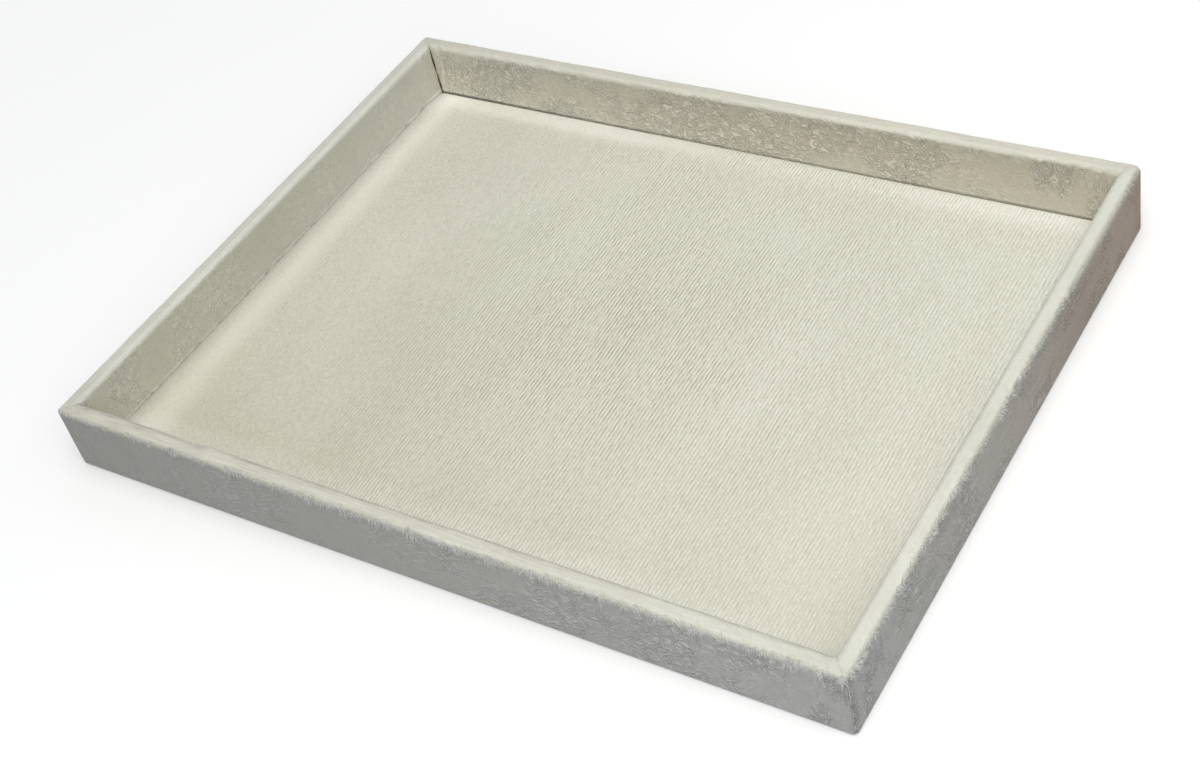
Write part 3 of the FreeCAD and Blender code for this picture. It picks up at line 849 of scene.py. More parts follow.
def wear(bm, half_run, side, seam_painted_shades):
    """Sinks the seams, presses slack and curls into the cloth, and leaves the wear and the painted light and
    shade on the mesh.
    """
    layers = bm.verts.layers
    cloth_layer = layers.float_vector["cloth"]
    tint_layer = layers.float_vector.new("tint")
    pale_pile_and_painted_light, crushed, streaked = (layers.float.new(name) for name in ("pale_pile_and_painted_light", "crushed", "streaked"))
    bm.normal_update()
    for vert in bm.verts:
        spot = vert[cloth_layer]
        share = (vert.co.x / half_run + 1) / 2
        at_rim, painted_fold_shade, outer_fold, inner_fold, inside = zones(vert, side, share)
        crush = between(CRUSHED[side], share) * (1 - RIM_LESS_CRUSHED * at_rim)
        waver = GROOVE_WAVER * noise.noise(Vector((spot.x / GROOVE_WAVE, 0, 8)))
        groove = at_rim * between(GROOVED[side], share)
        groove *= bell(vert.co.y - GROOVE_PLACE - waver, GROOVE_WIDTH)
        raised = raised_at(spot, side, share, crush, at_rim, outer_fold, inner_fold) - GROOVE_DEPTH * groove
        to_corner = from_mitre(vert, half_run) / math.sqrt(2)
        at_seam = bell(to_corner, SEAM_WIDTH)
        seam = SEAM_DEPTH * at_seam * (1 - (1 - RIM_SEAM_SHARE) * at_rim) * (1 - INNER_SEAM_LESS * inside)
        vert.co += vert.normal * (raised * smooth_step(*GLUED_TO_FREE, vert.co.z) - seam)
        opened_pile_and_painted_light = between(RIM_OPENED_AND_PAINTED_LIGHT[side], share) + OPENED_UNEVEN * noise.noise(spot / OPENED_SIZE)
        # Painted shade along the outside seams and in the groove.
        shade = seam_painted_shades[vert.co.x > 0] * at_seam * (1 - at_rim) * (1 - inside) + GROOVE_PAINTED_SHADE * groove
        vert[pale_pile_and_painted_light] = at_rim * opened_pile_and_painted_light + inner_fold * INNER_FOLD_PAINTED_LIGHT[side] - shade
        vert[crushed] = crush
        vert[streaked] = at_rim * between(STREAKED[side], share)
        wall_tint = between(OUTER_PAINTED_LIGHT[side], share).lerp(FOLD_PAINTED_SHADE, painted_fold_shade)
        wall_tint = wall_tint.lerp(inner_painted_light(vert.co.z, to_corner, side, share), inside)
        vert[tint_layer] = wall_tint.lerp(between(RIM_PAINTED_LIGHT[side], share), at_rim)


print("wear: seams", SEAM_DEPTH / MM, "mm deep, curls", CURL_DEPTH / MM, "mm")

# %% [markdown]
# ## The four wraps
# Every wrap is made as if it were the front one, then turned a quarter at a time to its side. A Solidify modifier
# gives the cloth its thickness inwards, thinner where it is glued flat under the board: a vertex group says
# how much. The strip's girth and the wall's length are the size the cloth was cut to.

# %% Wraps
RUNS = (HALF_LENGTH, HALF_DEPTH) * 2
PLUSH_THICKNESS = 0.8 * MM
GLUED_SHARE = 0.5
GLUED_BELOW = (0.4 * MM, 1.6 * MM)
CLOTH_APART = 0.7


def keep(bm, name, finish, body):
    """Makes a piece of a bmesh, with smooth faces and a finish, that rides on a body."""
    for face in bm.faces:
        face.smooth = True
    piece = put_in_scene(name, to_mesh(bm, name))
    piece.data.materials.append(finish)
    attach(piece, body)
    print("piece:", name, len(piece.data.polygons), "faces")
    return piece


def thicken(piece, thickness, group=""):
    """Gives a sheet its thickness behind its face."""
    solidify = piece.modifiers.new("cloth_thickness", "SOLIDIFY")
    solidify.thickness = thickness
    solidify.offset = -1
    solidify.vertex_group = group


def to_side(bm, number):
    """Carries a strip from its own axes to the wall with that number, anticlockwise from the front."""
    bmesh.ops.translate(bm, verts=bm.verts, vec=(0, -RUNS[number - 1], 0))
    turn = Matrix.Rotation(number * math.pi / 2, 3, "Z")
    bmesh.ops.rotate(bm, verts=bm.verts, cent=(0, 0, 0), matrix=turn)


def both_ends(row, number):
    """What a row for the four corners says of the two at a wall's ends."""
    return row[number], row[(number + 1) % 4]


wraps = {}
for number, (side, half_run) in enumerate(zip(SIDES, RUNS)):
    cloth = strip(half_run, Vector((number * CLOTH_APART, 0, 0)))
    lay_to_corners(cloth, half_run, both_ends(CORNER_ROUNDS, number))
    for vert in cloth.verts:
        open_corner(vert, half_run, both_ends(CORNER_GAPS, number))
        fill_corner(vert, half_run, both_ends(CORNER_FILLS, number))
    wear(cloth, half_run, side, both_ends(SEAM_PAINTED_SHADES, number))
    weights = cloth.verts.layers.deform.verify()
    for vert in cloth.verts:
        vert[weights][0] = GLUED_SHARE + (1 - GLUED_SHARE) * smooth_step(*GLUED_BELOW, vert.co.z)
    to_side(cloth, number)
    wraps[side] = keep(cloth, side + "_plush", plush, "tray")
    wraps[side].vertex_groups.new(name="unglued")
    thicken(wraps[side], PLUSH_THICKNESS, "unglued")
    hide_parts(side + "_wrap")

# %% [markdown]
# ## Locks of pile on the rim
# Where plush folds over an edge its pile stands out in little locks, and along the front and the front right
# corner they are long enough to fray the line between rim and wall. One lock is a three-sided cone with a bend
# in it. Copies of its mesh, each with its own place, lean and length, are added to one bmesh for each wall.
# The random draws are seeded, so the fringe is the same every time.

# %% A lock of pile
LOCK_BEND = 0.35
# Painted light on a lock: pale at its root, darker towards its tip.
LOCK_PAINTED_LIGHT = 0.75
TIP_DARKER = 0.45
LOCK_FLATNESS = 0.6
LOCK_SPIN = 0.6


def pile_lock():
    """One lock, a unit long, that leans over as it rises, with painted light that fades towards its tip."""
    bm = bmesh.new()
    bmesh.ops.create_cone(bm, cap_ends=True, segments=3, radius1=0.5, radius2=0.1, depth=1)
    bmesh.ops.translate(bm, verts=bm.verts, vec=(0, 0, 0.5))
    rising = [edge for edge in bm.edges if abs(edge.verts[0].co.z - edge.verts[1].co.z) > 0.5]
    bmesh.ops.subdivide_edges(bm, edges=rising, cuts=1)
    pale_pile_and_painted_light = bm.verts.layers.float.new("pale_pile_and_painted_light")
    for vert in bm.verts:
        vert.co.x += LOCK_BEND * vert.co.z ** 2
        vert[pale_pile_and_painted_light] = LOCK_PAINTED_LIGHT - TIP_DARKER * min(vert.co.z, 1) ** 2
    return to_mesh(bm, "pile_lock")


lock = pile_lock()
draw = random.Random(11)


def plant(bm, root, way, length, width):
    """Adds one lock to a bmesh, standing on its root and pointing its way."""
    size = Matrix.Diagonal((width * LOCK_FLATNESS, width, length, 1))
    spin = Matrix.Rotation(draw.uniform(-LOCK_SPIN, LOCK_SPIN), 4, "Z")
    lie = way.to_track_quat("Z", "X").to_matrix().to_4x4()
    copy = lock.copy()
    copy.transform(Matrix.Translation(root) @ lie @ spin @ size)
    bm.from_mesh(copy)
    bpy.data.meshes.remove(copy)


print("lock:", len(lock.polygons), "faces")

# %% [markdown]
# ## The fringe
# It is not even: noise breaks it into clumps, and it is longest round the front right corner. The back
# and left walls also have short hairs on the inner fold, and each outside corner has a line of small
# tufts where the two cut edges meet. A few fibres reach across the slit in the back left corner.

# %% Fringe along the rims
LOCKS_PER_METRE = 17000
LOCK_LENGTH = 2.7 * MM
LOCK_WIDTH = 0.22 * MM
LOCK_SUNK = 0.15 * MM
LOCK_ARC = (20, 105)
LONGEST_LOCK = 1.5
CLUMP_SIZE, FINE_CLUMP_SIZE = 7 * MM, 2.6 * MM
CLUMP_MEAN, CLUMP_CHANGE, CLUMP_LEAST = 0.75, 0.9, 0.1
LONG_END = {"front": 1, "right": -1}
LONG_GAIN, LONG_REACH = 0.8, 9 * MM
SWEPT = each_wall((1.1, 0.3), (0.2, 0.5), (0.3, 0.3), (0.3, 0.3))
HAIRY_FOLDS = ("back", "left")
HAIRS_PER_METRE = 0.35 * LOCKS_PER_METRE
HAIR_LENGTH = 0.7 * MM
HAIR_SUNK = 0.2 * MM
HAIR_ARC = (20, 80)
HAIR_CLUMP_SIZE = 4 * MM
TUFTS_PER_METRE = 2200
TUFT_LENGTH = 1.1 * MM
TUFT_SUNK = 0.3 * MM
TUFT_STRENGTHS = (1.5, 0.3, 0.3, 0.3)
SLIT_SIDE = "back"
SLIT_FIBRES = 26
SLIT_ENDS = (BOARD_TOP + 5 * MM, RIM_TOP - 3 * MM)
WALLS_APART = 3.1


def outer_fringe(bm, half_run, side, shift):
    """Locks along a wall's outer rim fold, in the strip's own axes."""
    fold = FOLD_ROUNDS[1]
    for _ in range(int(2 * half_run * LOCKS_PER_METRE)):
        along = draw.uniform(-1, 1) * (half_run - 1.0 * MM)
        clump = noise.noise(Vector((along / CLUMP_SIZE, shift, 0)))
        clump += noise.noise(Vector((along / FINE_CLUMP_SIZE, shift, 5)))
        share = (along / half_run + 1) / 2
        strength = between(FRINGED[side], share) * max(CLUMP_MEAN + CLUMP_CHANGE * clump, CLUMP_LEAST)
        if side in LONG_END:
            strength *= 1 + LONG_GAIN * math.exp((along * LONG_END[side] - half_run) / LONG_REACH)
        if draw.random() > strength:
            continue
        turn = math.radians(draw.uniform(*LOCK_ARC))
        out = Vector((0, -math.sin(turn), math.cos(turn)))
        root = Vector((along, fold, RIM_TOP - fold)) + out * (fold - LOCK_SUNK)
        sweep = between(SWEPT[side], share) + draw.gauss(0, 0.45)
        way = (out * 0.6 + Vector((sweep, -0.30, -0.60 + draw.gauss(0, 0.3)))).normalized()
        length = LOCK_LENGTH * min(strength, LONGEST_LOCK) * draw.uniform(0.4, 1.1)
        plant(bm, root, way, length, LOCK_WIDTH * draw.uniform(0.6, 1.3))


def inner_hairs(bm, half_run, shift):
    """Short hairs along the inner rim fold."""
    fold = FOLD_ROUNDS[2]
    for _ in range(int(2 * half_run * HAIRS_PER_METRE)):
        along = draw.uniform(-1, 1) * (half_run - RIM_WIDTH - 0.5 * MM)
        clump = 0.5 + 0.5 * noise.noise(Vector((along / HAIR_CLUMP_SIZE, shift, 9)))
        turn = math.radians(draw.uniform(*HAIR_ARC))
        out = Vector((0, math.sin(turn), math.cos(turn)))
        root = Vector((along, RIM_WIDTH - fold, RIM_TOP - fold)) + out * (fold - HAIR_SUNK)
        way = (out + Vector((draw.gauss(0, 0.6), 0, draw.uniform(-0.9, 0.2)))).normalized()
        plant(bm, root, way, HAIR_LENGTH * clump * draw.uniform(0.5, 1.1), LOCK_WIDTH * 0.8)


def corner_tufts(bm, half_run, corner, strength):
    """Small tufts down the outside corner at the strip's right-hand end."""
    square = math.sqrt(0.5)
    edge = Vector((half_run - corner * (1 - square), corner * (1 - square), 0))
    for _ in range(int(RIM_TOP * TUFTS_PER_METRE * strength)):
        height = draw.uniform(1.0 * MM, RIM_TOP - 1.0 * MM)
        beside = draw.gauss(-0.2, 0.5) * MM
        root = edge + Vector((beside * square, -beside * square, height))
        way = Vector((0.6 + draw.gauss(0, 0.4), -0.6 + draw.gauss(0, 0.4), draw.gauss(-0.7, 0.6)))
        way.normalize()
        plant(bm, root - way * TUFT_SUNK, way, TUFT_LENGTH * draw.uniform(0.5, 1.3), LOCK_WIDTH * 0.7)


def slit_fibres(bm, half_run):
    """A few loose fibres across the slit at the strip's right-hand end, inside the tray."""
    for _ in range(SLIT_FIBRES):
        aside = RIM_WIDTH + draw.uniform(0.3, 0.9) * MM
        root = Vector((half_run - aside, RIM_WIDTH - 0.1 * MM, draw.uniform(*SLIT_ENDS)))
        way = Vector((1, draw.uniform(0.05, 0.35), draw.gauss(-0.1, 0.4))).normalized()
        plant(bm, root, way, TUFT_LENGTH * draw.uniform(0.7, 1.3), LOCK_WIDTH * 0.6)


for number, (side, half_run) in enumerate(zip(SIDES, RUNS)):
    locks = bmesh.new()
    outer_fringe(locks, half_run, side, number * WALLS_APART)
    if side in HAIRY_FOLDS:
        inner_hairs(locks, half_run, number * WALLS_APART)
    if side == SLIT_SIDE:
        slit_fibres(locks, half_run)
    corner_tufts(locks, half_run, both_ends(CORNER_ROUNDS, number)[1], TUFT_STRENGTHS[number])
    to_side(locks, number)
    keep(locks, side + "_rim_pile", tips, "tray")

# %% [markdown]
# ## How the pad swells
# The pad is a card with thin sponge on it and velvet drawn over both, glued underneath. The velvet is held at
# the card's edge and pushed up by the sponge, which gives a soft rolled border. A cloth simulation makes that
# border: a sheet pinned at its edge, with pressure from below and no gravity. How far a point may rise is capped,
# because sponge only gives so much. The rest of the pad reads its height from the result.

# %% Pad swelling
pad_low, pad_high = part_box("pad_cover")
PAD_MIDDLE = (pad_low + pad_high) / 2
PAD_HALF = (pad_high - pad_low) / 2
SWELL_GRID = (64, 48)
SWELL_PRESSURE = 4
SWELL_CAP = 0.8 * MM
SWELL_FRAMES = 20


def swollen_sheet():
    """A sheet of the pad's size after the sponge has pushed it up, as a tree for looking up heights."""
    bm = flat_grid(*SWELL_GRID, PAD_HALF.x, PAD_HALF.y)
    glued = [vert.index for vert in bm.verts if vert.is_boundary]
    sheet = put_in_scene("swelling", to_mesh(bm, "swelling"))
    sheet.vertex_groups.new(name="glued").add(glued, 1.0, "REPLACE")
    cloth = sheet.modifiers.new("velvet", "CLOTH")
    cloth.settings.vertex_group_mass = "glued"
    cloth.settings.use_pressure = True
    cloth.settings.uniform_pressure_force = SWELL_PRESSURE
    cloth.settings.effector_weights.gravity = 0
    cloth.point_cache.frame_end = SWELL_FRAMES
    for step in range(1, SWELL_FRAMES + 1):
        scene.frame_set(step)
    swollen = sheet.evaluated_get(bpy.context.evaluated_depsgraph_get()).to_mesh()
    heights = [vert.co.z for vert in swollen.vertices]
    print("swelling: from and to", in_mm((min(heights), max(heights))), "mm before the cap")
    for vert, height in zip(sheet.data.vertices, heights):
        vert.co.z = SWELL_CAP * (1 - math.exp(-max(height, 0) / SWELL_CAP))
    scene.frame_set(1)
    sheet.modifiers.remove(cloth)
    finer = sheet.modifiers.new("finer", "SUBSURF")
    finer.levels = finer.render_levels = 2
    heights_tree = BVHTree.FromObject(sheet, bpy.context.evaluated_depsgraph_get())
    bpy.data.objects.remove(sheet)
    return heights_tree


swelling = swollen_sheet()


def swell_at(x, y):
    """How far the pad has swollen at a place measured from its middle."""
    hit = swelling.ray_cast(Vector((x, y, 1)), Vector((0, 0, -1)))[0]
    return hit.z if hit else 0.0


print("swelling: middle and edge", in_mm((swell_at(0, 0), swell_at(PAD_HALF.x - 6 * MM, 0))), "mm")

# %% [markdown]
# ## The pattern of the ribs
# The velvet has a rib about every millimetre and a half, running from front to back. The ribs stand up most in
# the middle of the pad and are rubbed down towards the right and the front. The pad lies against the left wall,
# so its edge is pushed up the wall there in a lumpy lip. Along that edge, and a little way along the back, the
# pile is pressed flat in a pale border. Places are measured from the pad's middle.

# %% Rib pattern
PAD_CORNER = 3.2 * MM
BORDER_WAVES = ((3.0 * MM, 22 * MM, 0), (1.5 * MM, 7 * MM, 3))
LEFT_BORDER = (22 * MM, 8 * MM)
BACK_BORDER = (13 * MM, 6 * MM)
BACK_BORDER_END = (0.02, -0.07)
LIP_HEIGHT = 1.2 * MM
LIP_WIDTH = 5 * MM
LIP_ENDS = (2 * MM, 12 * MM)
PRESSED_LEFT, PRESSED_SHARE = (-0.115, -0.025), 0.12
MIDDLE_GAIN, MIDDLE_LENGTH, MIDDLE_DEPTH = 0.7, 0.060, 0.075
RUBBED_RIGHT, RUBBED_FRONT, RUBBED_LESS = (0.05, 0.12), (-0.02, -0.08), 0.28
RIBLESS_SIDES = (3 * MM, 7 * MM)
RIBLESS_EDGE = (0.3 * MM, 2.2 * MM)
RIBS_UNEVEN, RIBS_UNEVEN_SIZE = 0.45, 16 * MM


def to_rounded_corner(x, y):
    """Draws a grid's square corner in to a round one, and gives the distance to the edge too."""
    over_x = (abs(x) - PAD_HALF.x + PAD_CORNER) / PAD_CORNER
    over_y = (abs(y) - PAD_HALF.y + PAD_CORNER) / PAD_CORNER
    if over_x <= 0 or over_y <= 0:
        return x, y, min(PAD_HALF.x - abs(x), PAD_HALF.y - abs(y))
    round_x = over_x * math.sqrt(1 - over_y * over_y / 2)
    round_y = over_y * math.sqrt(1 - over_x * over_x / 2)
    x = math.copysign(PAD_HALF.x - PAD_CORNER * (1 - round_x), x)
    y = math.copysign(PAD_HALF.y - PAD_CORNER * (1 - round_y), y)
    return x, y, PAD_CORNER * (1 - min(math.hypot(round_x, round_y), 1))


def pale_border(x, y):
    """1 in the pressed border along the left edge and the left half of the back edge."""
    uneven = sum(wave * noise.noise(Vector((x, y, seed)) / size) for wave, size, seed in BORDER_WAVES)
    left = smooth_step(*LEFT_BORDER, PAD_HALF.x + x + uneven)
    back = smooth_step(*BACK_BORDER, PAD_HALF.y - y + uneven) * smooth_step(*BACK_BORDER_END, x)
    return max(left, back)


def lip_at(x, y):
    """How far the left edge is pushed up the wall."""
    lumps = 0.8 + 0.5 * noise.noise(Vector((0, y / (8 * MM), 6)))
    lumps += 0.3 * noise.noise(Vector((0, y / (3 * MM), 1)))
    along = smooth_step(*LIP_ENDS, PAD_HALF.y - abs(y))
    return LIP_HEIGHT * lumps * along * smooth_step(LIP_WIDTH, 0, PAD_HALF.x + x) ** 1.5


def rib_strength(x, y, to_edge):
    """How far the ribs stand up: pressed down at the left and towards the edges."""
    pressed = PRESSED_SHARE + (1 - PRESSED_SHARE) * smooth_step(*PRESSED_LEFT, x)
    pressed *= 1 - pale_border(x, y)
    middle = 1 + MIDDLE_GAIN * bell(x, MIDDLE_LENGTH) * bell(y, MIDDLE_DEPTH)
    rubbed = 1 - RUBBED_LESS * smooth_step(*RUBBED_RIGHT, x)
    rubbed *= 1 - RUBBED_LESS * smooth_step(*RUBBED_FRONT, y)
    borders = smooth_step(*RIBLESS_SIDES, PAD_HALF.x - abs(x)) * smooth_step(*RIBLESS_EDGE, to_edge)
    uneven = 1 + RIBS_UNEVEN * noise.noise(Vector((x, y, 0)) / RIBS_UNEVEN_SIZE)
    return pressed * middle * rubbed * borders * uneven


print("ribs: strength", round(rib_strength(0, 0, PAD_HALF.y), 2), "in the middle")

# %% [markdown]
# ## The pad's nap and painted light
# The pile is paler in the pressed border and, as painted light, towards the right. Over that, painted light makes
# the pad palest along the back, the right and the front, and in the back left corner, and painted shade darkens
# the last few millimetres before the left wall.

# %% Nap and painted light of the pad
PLAIN_NAP = 0.45
BORDER_NAP = 0.36
# Painted light that makes the pile paler towards the right.
RIGHT_PAINTED_LIGHT, RIGHT_PAINTED_LIGHT_START = 0.17, (-0.10, 0.0)
# Painted light and shade on the pad, blended from front to back.
FRONT_PAINTED_LIGHT = tints((1.0, 0.99, 0.96), (0.92, 0.91, 0.88), (0.99, 0.98, 0.98))
BACK_PAINTED_LIGHT = tints((1.15, 1.155, 1.19), (1.02, 1.02, 1.03), (1.04, 1.05, 1.08))
# Painted light along the edges and in the back left corner.
EDGE_PAINTED_LIGHT = Vector((0.12, 0.13, 0.17))
RIGHT_EDGE = (20 * MM, 6 * MM)
FRONT_EDGE, FRONT_EDGE_SHARES = (27 * MM, 10 * MM), (1.75, 1.65, 1.0)
BACK_EDGE, BACK_EDGE_SHARES = (18 * MM, 5 * MM), (0.0, 0.7, 1.7)
BACK_FOLD_WIDTH, BACK_FOLD_SHARES = 2.5 * MM, (0.3, 0.5, 1.1)
BACK_LEFT, BACK_LEFT_SHARE, BACK_LEFT_LONGER = (20 * MM, 4 * MM), 1.7, 0.6
# Painted shade where the pad meets the left wall.
LEFT_EDGE_PAINTED_SHADE = 0.40
LEFT_EDGE_WIDTH = 3.8 * MM


def nap_at(x, y):
    """How pale the pile is, with painted light towards the right: 0.5 is the plain colour."""
    return PLAIN_NAP + BORDER_NAP * pale_border(x, y) + RIGHT_PAINTED_LIGHT * smooth_step(*RIGHT_PAINTED_LIGHT_START, x)


def pad_painted_light(x, y):
    """The pad's painted light, palest along the back, right and front edges, and painted shade at the left wall.
    """
    along, across = (x / PAD_HALF.x + 1) / 2, (y / PAD_HALF.y + 1) / 2
    at_right = smooth_step(*RIGHT_EDGE, PAD_HALF.x - x)
    at_front = smooth_step(*FRONT_EDGE, PAD_HALF.y + y) * between(FRONT_EDGE_SHARES, along)
    at_back = smooth_step(*BACK_EDGE, PAD_HALF.y - y) * between(BACK_EDGE_SHARES, along)
    at_back += math.exp((y - PAD_HALF.y) / BACK_FOLD_WIDTH) * between(BACK_FOLD_SHARES, along)
    from_corner = math.hypot(BACK_LEFT_LONGER * (PAD_HALF.x + x), PAD_HALF.y - y)
    at_corner = BACK_LEFT_SHARE * smooth_step(*BACK_LEFT, from_corner)
    paler = PLAIN[0] + EDGE_PAINTED_LIGHT * max(at_right, at_front, at_back, at_corner)
    shaded = 1 - LEFT_EDGE_PAINTED_SHADE * math.exp(-(PAD_HALF.x + x) / LEFT_EDGE_WIDTH)
    return between(FRONT_PAINTED_LIGHT, along).lerp(between(BACK_PAINTED_LIGHT, along), across) * paler * shaded


print("nap:", round(nap_at(0, 0), 2), "in the middle,", round(nap_at(5 * MM - PAD_HALF.x, 0), 2), "at the left")

# %% [markdown]
# ## The ribbed top
# A grid with six columns to a rib takes the ribs: its columns rise and fall in turn. The columns also lean and
# waver a little, because the cloth was pulled by hand. Rows crowd towards the front and back edges, where the
# cover rolls over. At the left wall the edge is fuller and lies closer.

# %% Ribbed top
RIB_PITCH = 1.49 * MM
RIB_RISES = (0.0, 0.60, 0.92, 1.0, 0.92, 0.60)
RIB_COLUMNS = len(RIB_RISES)
MEAN_RISE = sum(RIB_RISES) / RIB_COLUMNS
RIB_HEIGHT = 0.42 * MM
RIBS = round(2 * PAD_HALF.x / RIB_PITCH)
COVER_ROWS = 58
ROW_CROWDING = 0.45
RIB_LEAN = -3.2 * MM
RIB_WAVER, FINE_WAVER = 0.5 * MM, 0.18 * MM
STRAIGHT_BORDER = 25 * MM
EDGE_TOP = pad_high.z - SWELL_CAP - 0.25 * MM
EDGE_ROLL = 0.9 * MM
LEFT_REACH = 6 * MM
LEFT_FULLER = 0.55 * MM
LEFT_CROWD = 0.2 * MM

top = flat_grid(RIBS * RIB_COLUMNS, COVER_ROWS, 1, 1)
rib_layer = top.verts.layers.float.new("rib")
nap_layer = top.verts.layers.float.new("nap_and_painted_light")
tint_layer = top.verts.layers.float_vector.new("tint")
for vert in top.verts:
    column = round((vert.co.x + 1) / 2 * RIBS * RIB_COLUMNS)
    rise = RIB_RISES[column % RIB_COLUMNS]
    row = vert.co.y * (1 + ROW_CROWDING * (1 - vert.co.y ** 2))
    x, y, to_edge = to_rounded_corner(vert.co.x * PAD_HALF.x, row * PAD_HALF.y)
    moved = noise.noise(Vector((x / (60 * MM), y / (35 * MM), 2))) * RIB_WAVER
    moved += noise.noise(Vector((x / (10 * MM), y / (26 * MM), 7))) * FINE_WAVER
    moved += RIB_LEAN * y / PAD_HALF.y
    moved *= smooth_step(0, STRAIGHT_BORDER, PAD_HALF.x - abs(x))
    strength = rib_strength(x, y, to_edge)
    at_left = smooth_step(LEFT_REACH, 0, PAD_HALF.x + x)
    round_edge = EDGE_ROLL - LEFT_FULLER * at_left
    roll = max(round_edge - to_edge, 0)
    drop = round_edge - math.sqrt(max(round_edge ** 2 - roll ** 2, 0))
    height = EDGE_TOP + swell_at(x, y) + lip_at(x, y) - drop + RIB_HEIGHT * rise * strength
    vert[rib_layer] = strength * (rise - MEAN_RISE)
    vert[nap_layer] = nap_at(x, y)
    vert[tint_layer] = pad_painted_light(x, y)
    vert.co = (PAD_MIDDLE.x + x + moved - LEFT_CROWD * at_left, PAD_MIDDLE.y + y, height)
print("ribbed top:", RIBS, "ribs, up to", round(max(v.co.z for v in top.verts) / MM, 2), "mm")

# %% [markdown]
# ## Over the edge and under the card
# From the rolled edge the velvet goes straight down the pad's side and is turned under the card, where it is
# glued. Each stretch is an extrusion of the last open edge. The last one goes up inside the card and is closed
# there, out of sight, so that the cover is one closed form.

# %% Cover
HEM = 12 * MM
HEM_ROUND = 0.4 * MM
card_low, card_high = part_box("pad_card")


def draw_on(bm, edges, place):
    """Extrudes an open edge and puts the new points where place says, and gives the new open edge."""
    drawn = bmesh.ops.extrude_edge_only(bm, edges=edges)["geom"]
    points = {item for item in drawn if isinstance(item, bmesh.types.BMVert)}
    for vert in points:
        vert.co = place(vert.co)
    return [e for e in drawn if isinstance(e, bmesh.types.BMEdge) and points.issuperset(e.verts)]


def drawn_in(point, amount, height):
    """A point of the pad's outline moved in by an amount, at a height."""
    share_x, share_y = 1 - amount / PAD_HALF.x, 1 - amount / PAD_HALF.y
    x = PAD_MIDDLE.x + (point.x - PAD_MIDDLE.x) * share_x
    y = PAD_MIDDLE.y + (point.y - PAD_MIDDLE.y) * share_y
    return Vector((x, y, height))


def close(bm, edges):
    """Fills the last open edge and turns all faces outwards."""
    bmesh.ops.edgeloop_fill(bm, edges=edges)
    bmesh.ops.recalc_face_normals(bm, faces=bm.faces)


open_edge = [edge for edge in top.edges if edge.is_boundary]
open_edge = draw_on(top, open_edge, lambda p: Vector((p.x, p.y, pad_low.z + HEM_ROUND)))
open_edge = draw_on(top, open_edge, lambda p: drawn_in(p, HEM_ROUND, pad_low.z))
open_edge = draw_on(top, open_edge, lambda p: drawn_in(p, HEM, pad_low.z))
open_edge = draw_on(top, open_edge, lambda p: Vector((p.x, p.y, (card_low.z + card_high.z) / 2)))
close(top, open_edge)
cover = keep(top, "liner_cover", ribbed, "liner_pad")
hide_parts("pad_cover")

# %% [markdown]
# ## Pile at the left wall
# On the lip at the left wall the pile is pushed up into a soft ragged edge that hides the gap. It is the same
# lock of pile again, short and leaning on the wall, and darker there as painted shade.

# %% Pile at the pad's left edge
EDGE_LOCKS_PER_METRE = 5000
EDGE_LOCK_LENGTH = 1.0 * MM
EDGE_LOCK_SUNK = 0.2 * MM
EDGE_LOCKS_PAINTED_SHADE = 0.5
EDGE_CLUMP_SIZE = 5 * MM

edge_locks = bmesh.new()
for _ in range(int(2 * PAD_HALF.y * EDGE_LOCKS_PER_METRE)):
    along = draw.uniform(-1, 1) * (PAD_HALF.y - PAD_CORNER)
    clump = 0.7 + 0.6 * noise.noise(Vector((along / EDGE_CLUMP_SIZE, 0, 4)))
    aside = draw.uniform(0.0, 0.7) * MM
    lip_top = EDGE_TOP + lip_at(aside - PAD_HALF.x, along)
    root = Vector((pad_low.x + aside, PAD_MIDDLE.y + along, lip_top - EDGE_LOCK_SUNK))
    way = Vector((draw.gauss(-0.16, 0.08), draw.gauss(0, 0.5), 1)).normalized()
    plant(edge_locks, root, way, EDGE_LOCK_LENGTH * clump * draw.uniform(0.5, 1.1), LOCK_WIDTH * 0.8)
# Painted shade on the locks that stand against the left wall.
edge_lock_painted_light_layer = edge_locks.verts.layers.float["pale_pile_and_painted_light"]
for vert in edge_locks.verts:
    vert[edge_lock_painted_light_layer] -= EDGE_LOCKS_PAINTED_SHADE
keep(edge_locks, "liner_edge_pile", tips, "liner_pad")

# %% [markdown]
# ## Sponge under the velvet
# The sponge lies between card and velvet and is only seen if the pad is opened. It follows the same swelling,
# a little lower. A coarse grid is enough, drawn down to the card at its edge and closed there.

# %% Sponge
sponge_low, sponge_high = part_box("pad_foam")
SPONGE_HALF = (sponge_high - sponge_low) / 2
SPONGE_INSET = 0.5 * MM
SPONGE_SKIN = 0.45 * MM
SPONGE_GRID = (80, 60)

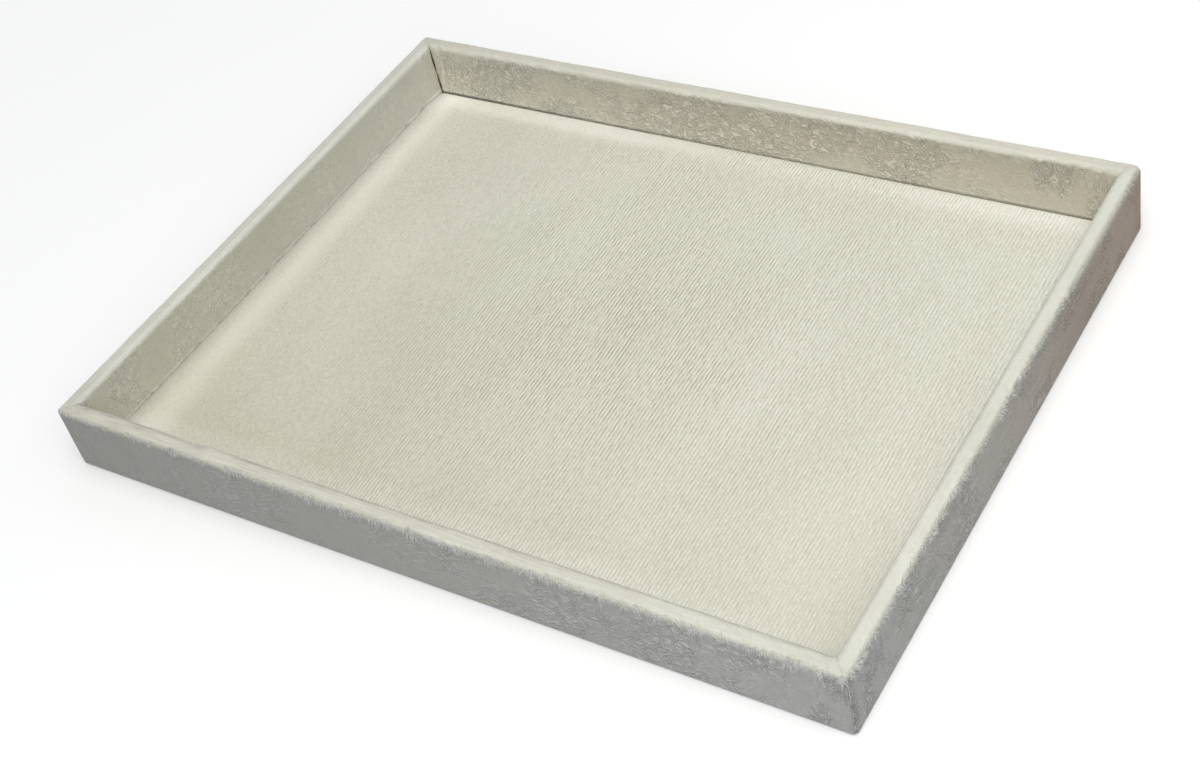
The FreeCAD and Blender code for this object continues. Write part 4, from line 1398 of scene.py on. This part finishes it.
layer = flat_grid(*SPONGE_GRID, SPONGE_HALF.x - SPONGE_INSET, SPONGE_HALF.y - SPONGE_INSET)
for vert in layer.verts:
    swollen = EDGE_TOP + swell_at(vert.co.x, vert.co.y) - SPONGE_SKIN
    vert.co = (PAD_MIDDLE.x + vert.co.x, PAD_MIDDLE.y + vert.co.y, min(swollen, sponge_high.z))
rim_edges = [edge for edge in layer.edges if edge.is_boundary]
close(layer, draw_on(layer, rim_edges, lambda p: Vector((p.x, p.y, sponge_low.z))))
sponge_layer = keep(layer, "liner_sponge", sponge, "liner_pad")
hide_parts("pad_foam")

# %% [markdown]
# ## Felt under the tray
# A thin felt lining hides the turned-in plush. It lies on the turned cloth round the edge and is pressed up
# against the board in the middle, so a soft step runs round it. Its cut edge wavers a little.

# %% Underside felt
felt_low, felt_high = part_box("bottom_sheet")
FELT_THICKNESS = 0.3 * MM
FELT_RISE = felt_high.z - felt_low.z - FELT_THICKNESS
FELT_STEP = (TURN_EDGE - 0.5 * MM, TURN_EDGE + 3.5 * MM)
FELT_GRID = (150, 114)
BUBBLE_DEPTH, BUBBLE_SIZE = 0.10 * MM, 40 * MM
CUT_WAVER, CUT_WAVE = 0.35 * MM, 15 * MM

underside = flat_grid(*FELT_GRID, felt_high.x, felt_high.y)
for vert in underside.verts:
    to_wall = min(HALF_LENGTH - abs(vert.co.x), HALF_DEPTH - abs(vert.co.y))
    pressed = smooth_step(*FELT_STEP, to_wall)
    bubble = (0.5 + 0.5 * noise.noise(vert.co / BUBBLE_SIZE)) * BUBBLE_DEPTH
    cut = noise.noise(vert.co / CUT_WAVE) * CUT_WAVER if vert.is_boundary else 0
    vert.co.x -= math.copysign(cut, vert.co.x) if abs(vert.co.x) > felt_high.x - MM else 0
    vert.co.y -= math.copysign(cut, vert.co.y) if abs(vert.co.y) > felt_high.y - MM else 0
    vert.co.z = felt_low.z + (FELT_RISE - bubble) * pressed
bmesh.ops.reverse_faces(underside, faces=underside.faces)
lining = keep(underside, "underside_felt", fibres["felt_lining"], "tray")
thicken(lining, FELT_THICKNESS)
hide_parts("bottom_sheet")

# %% [markdown]
# ## Tidying up
# The last cell removes the mesh of the single lock, which served only as the pattern for its copies.

# %% Tidying up
bpy.data.meshes.remove(lock)
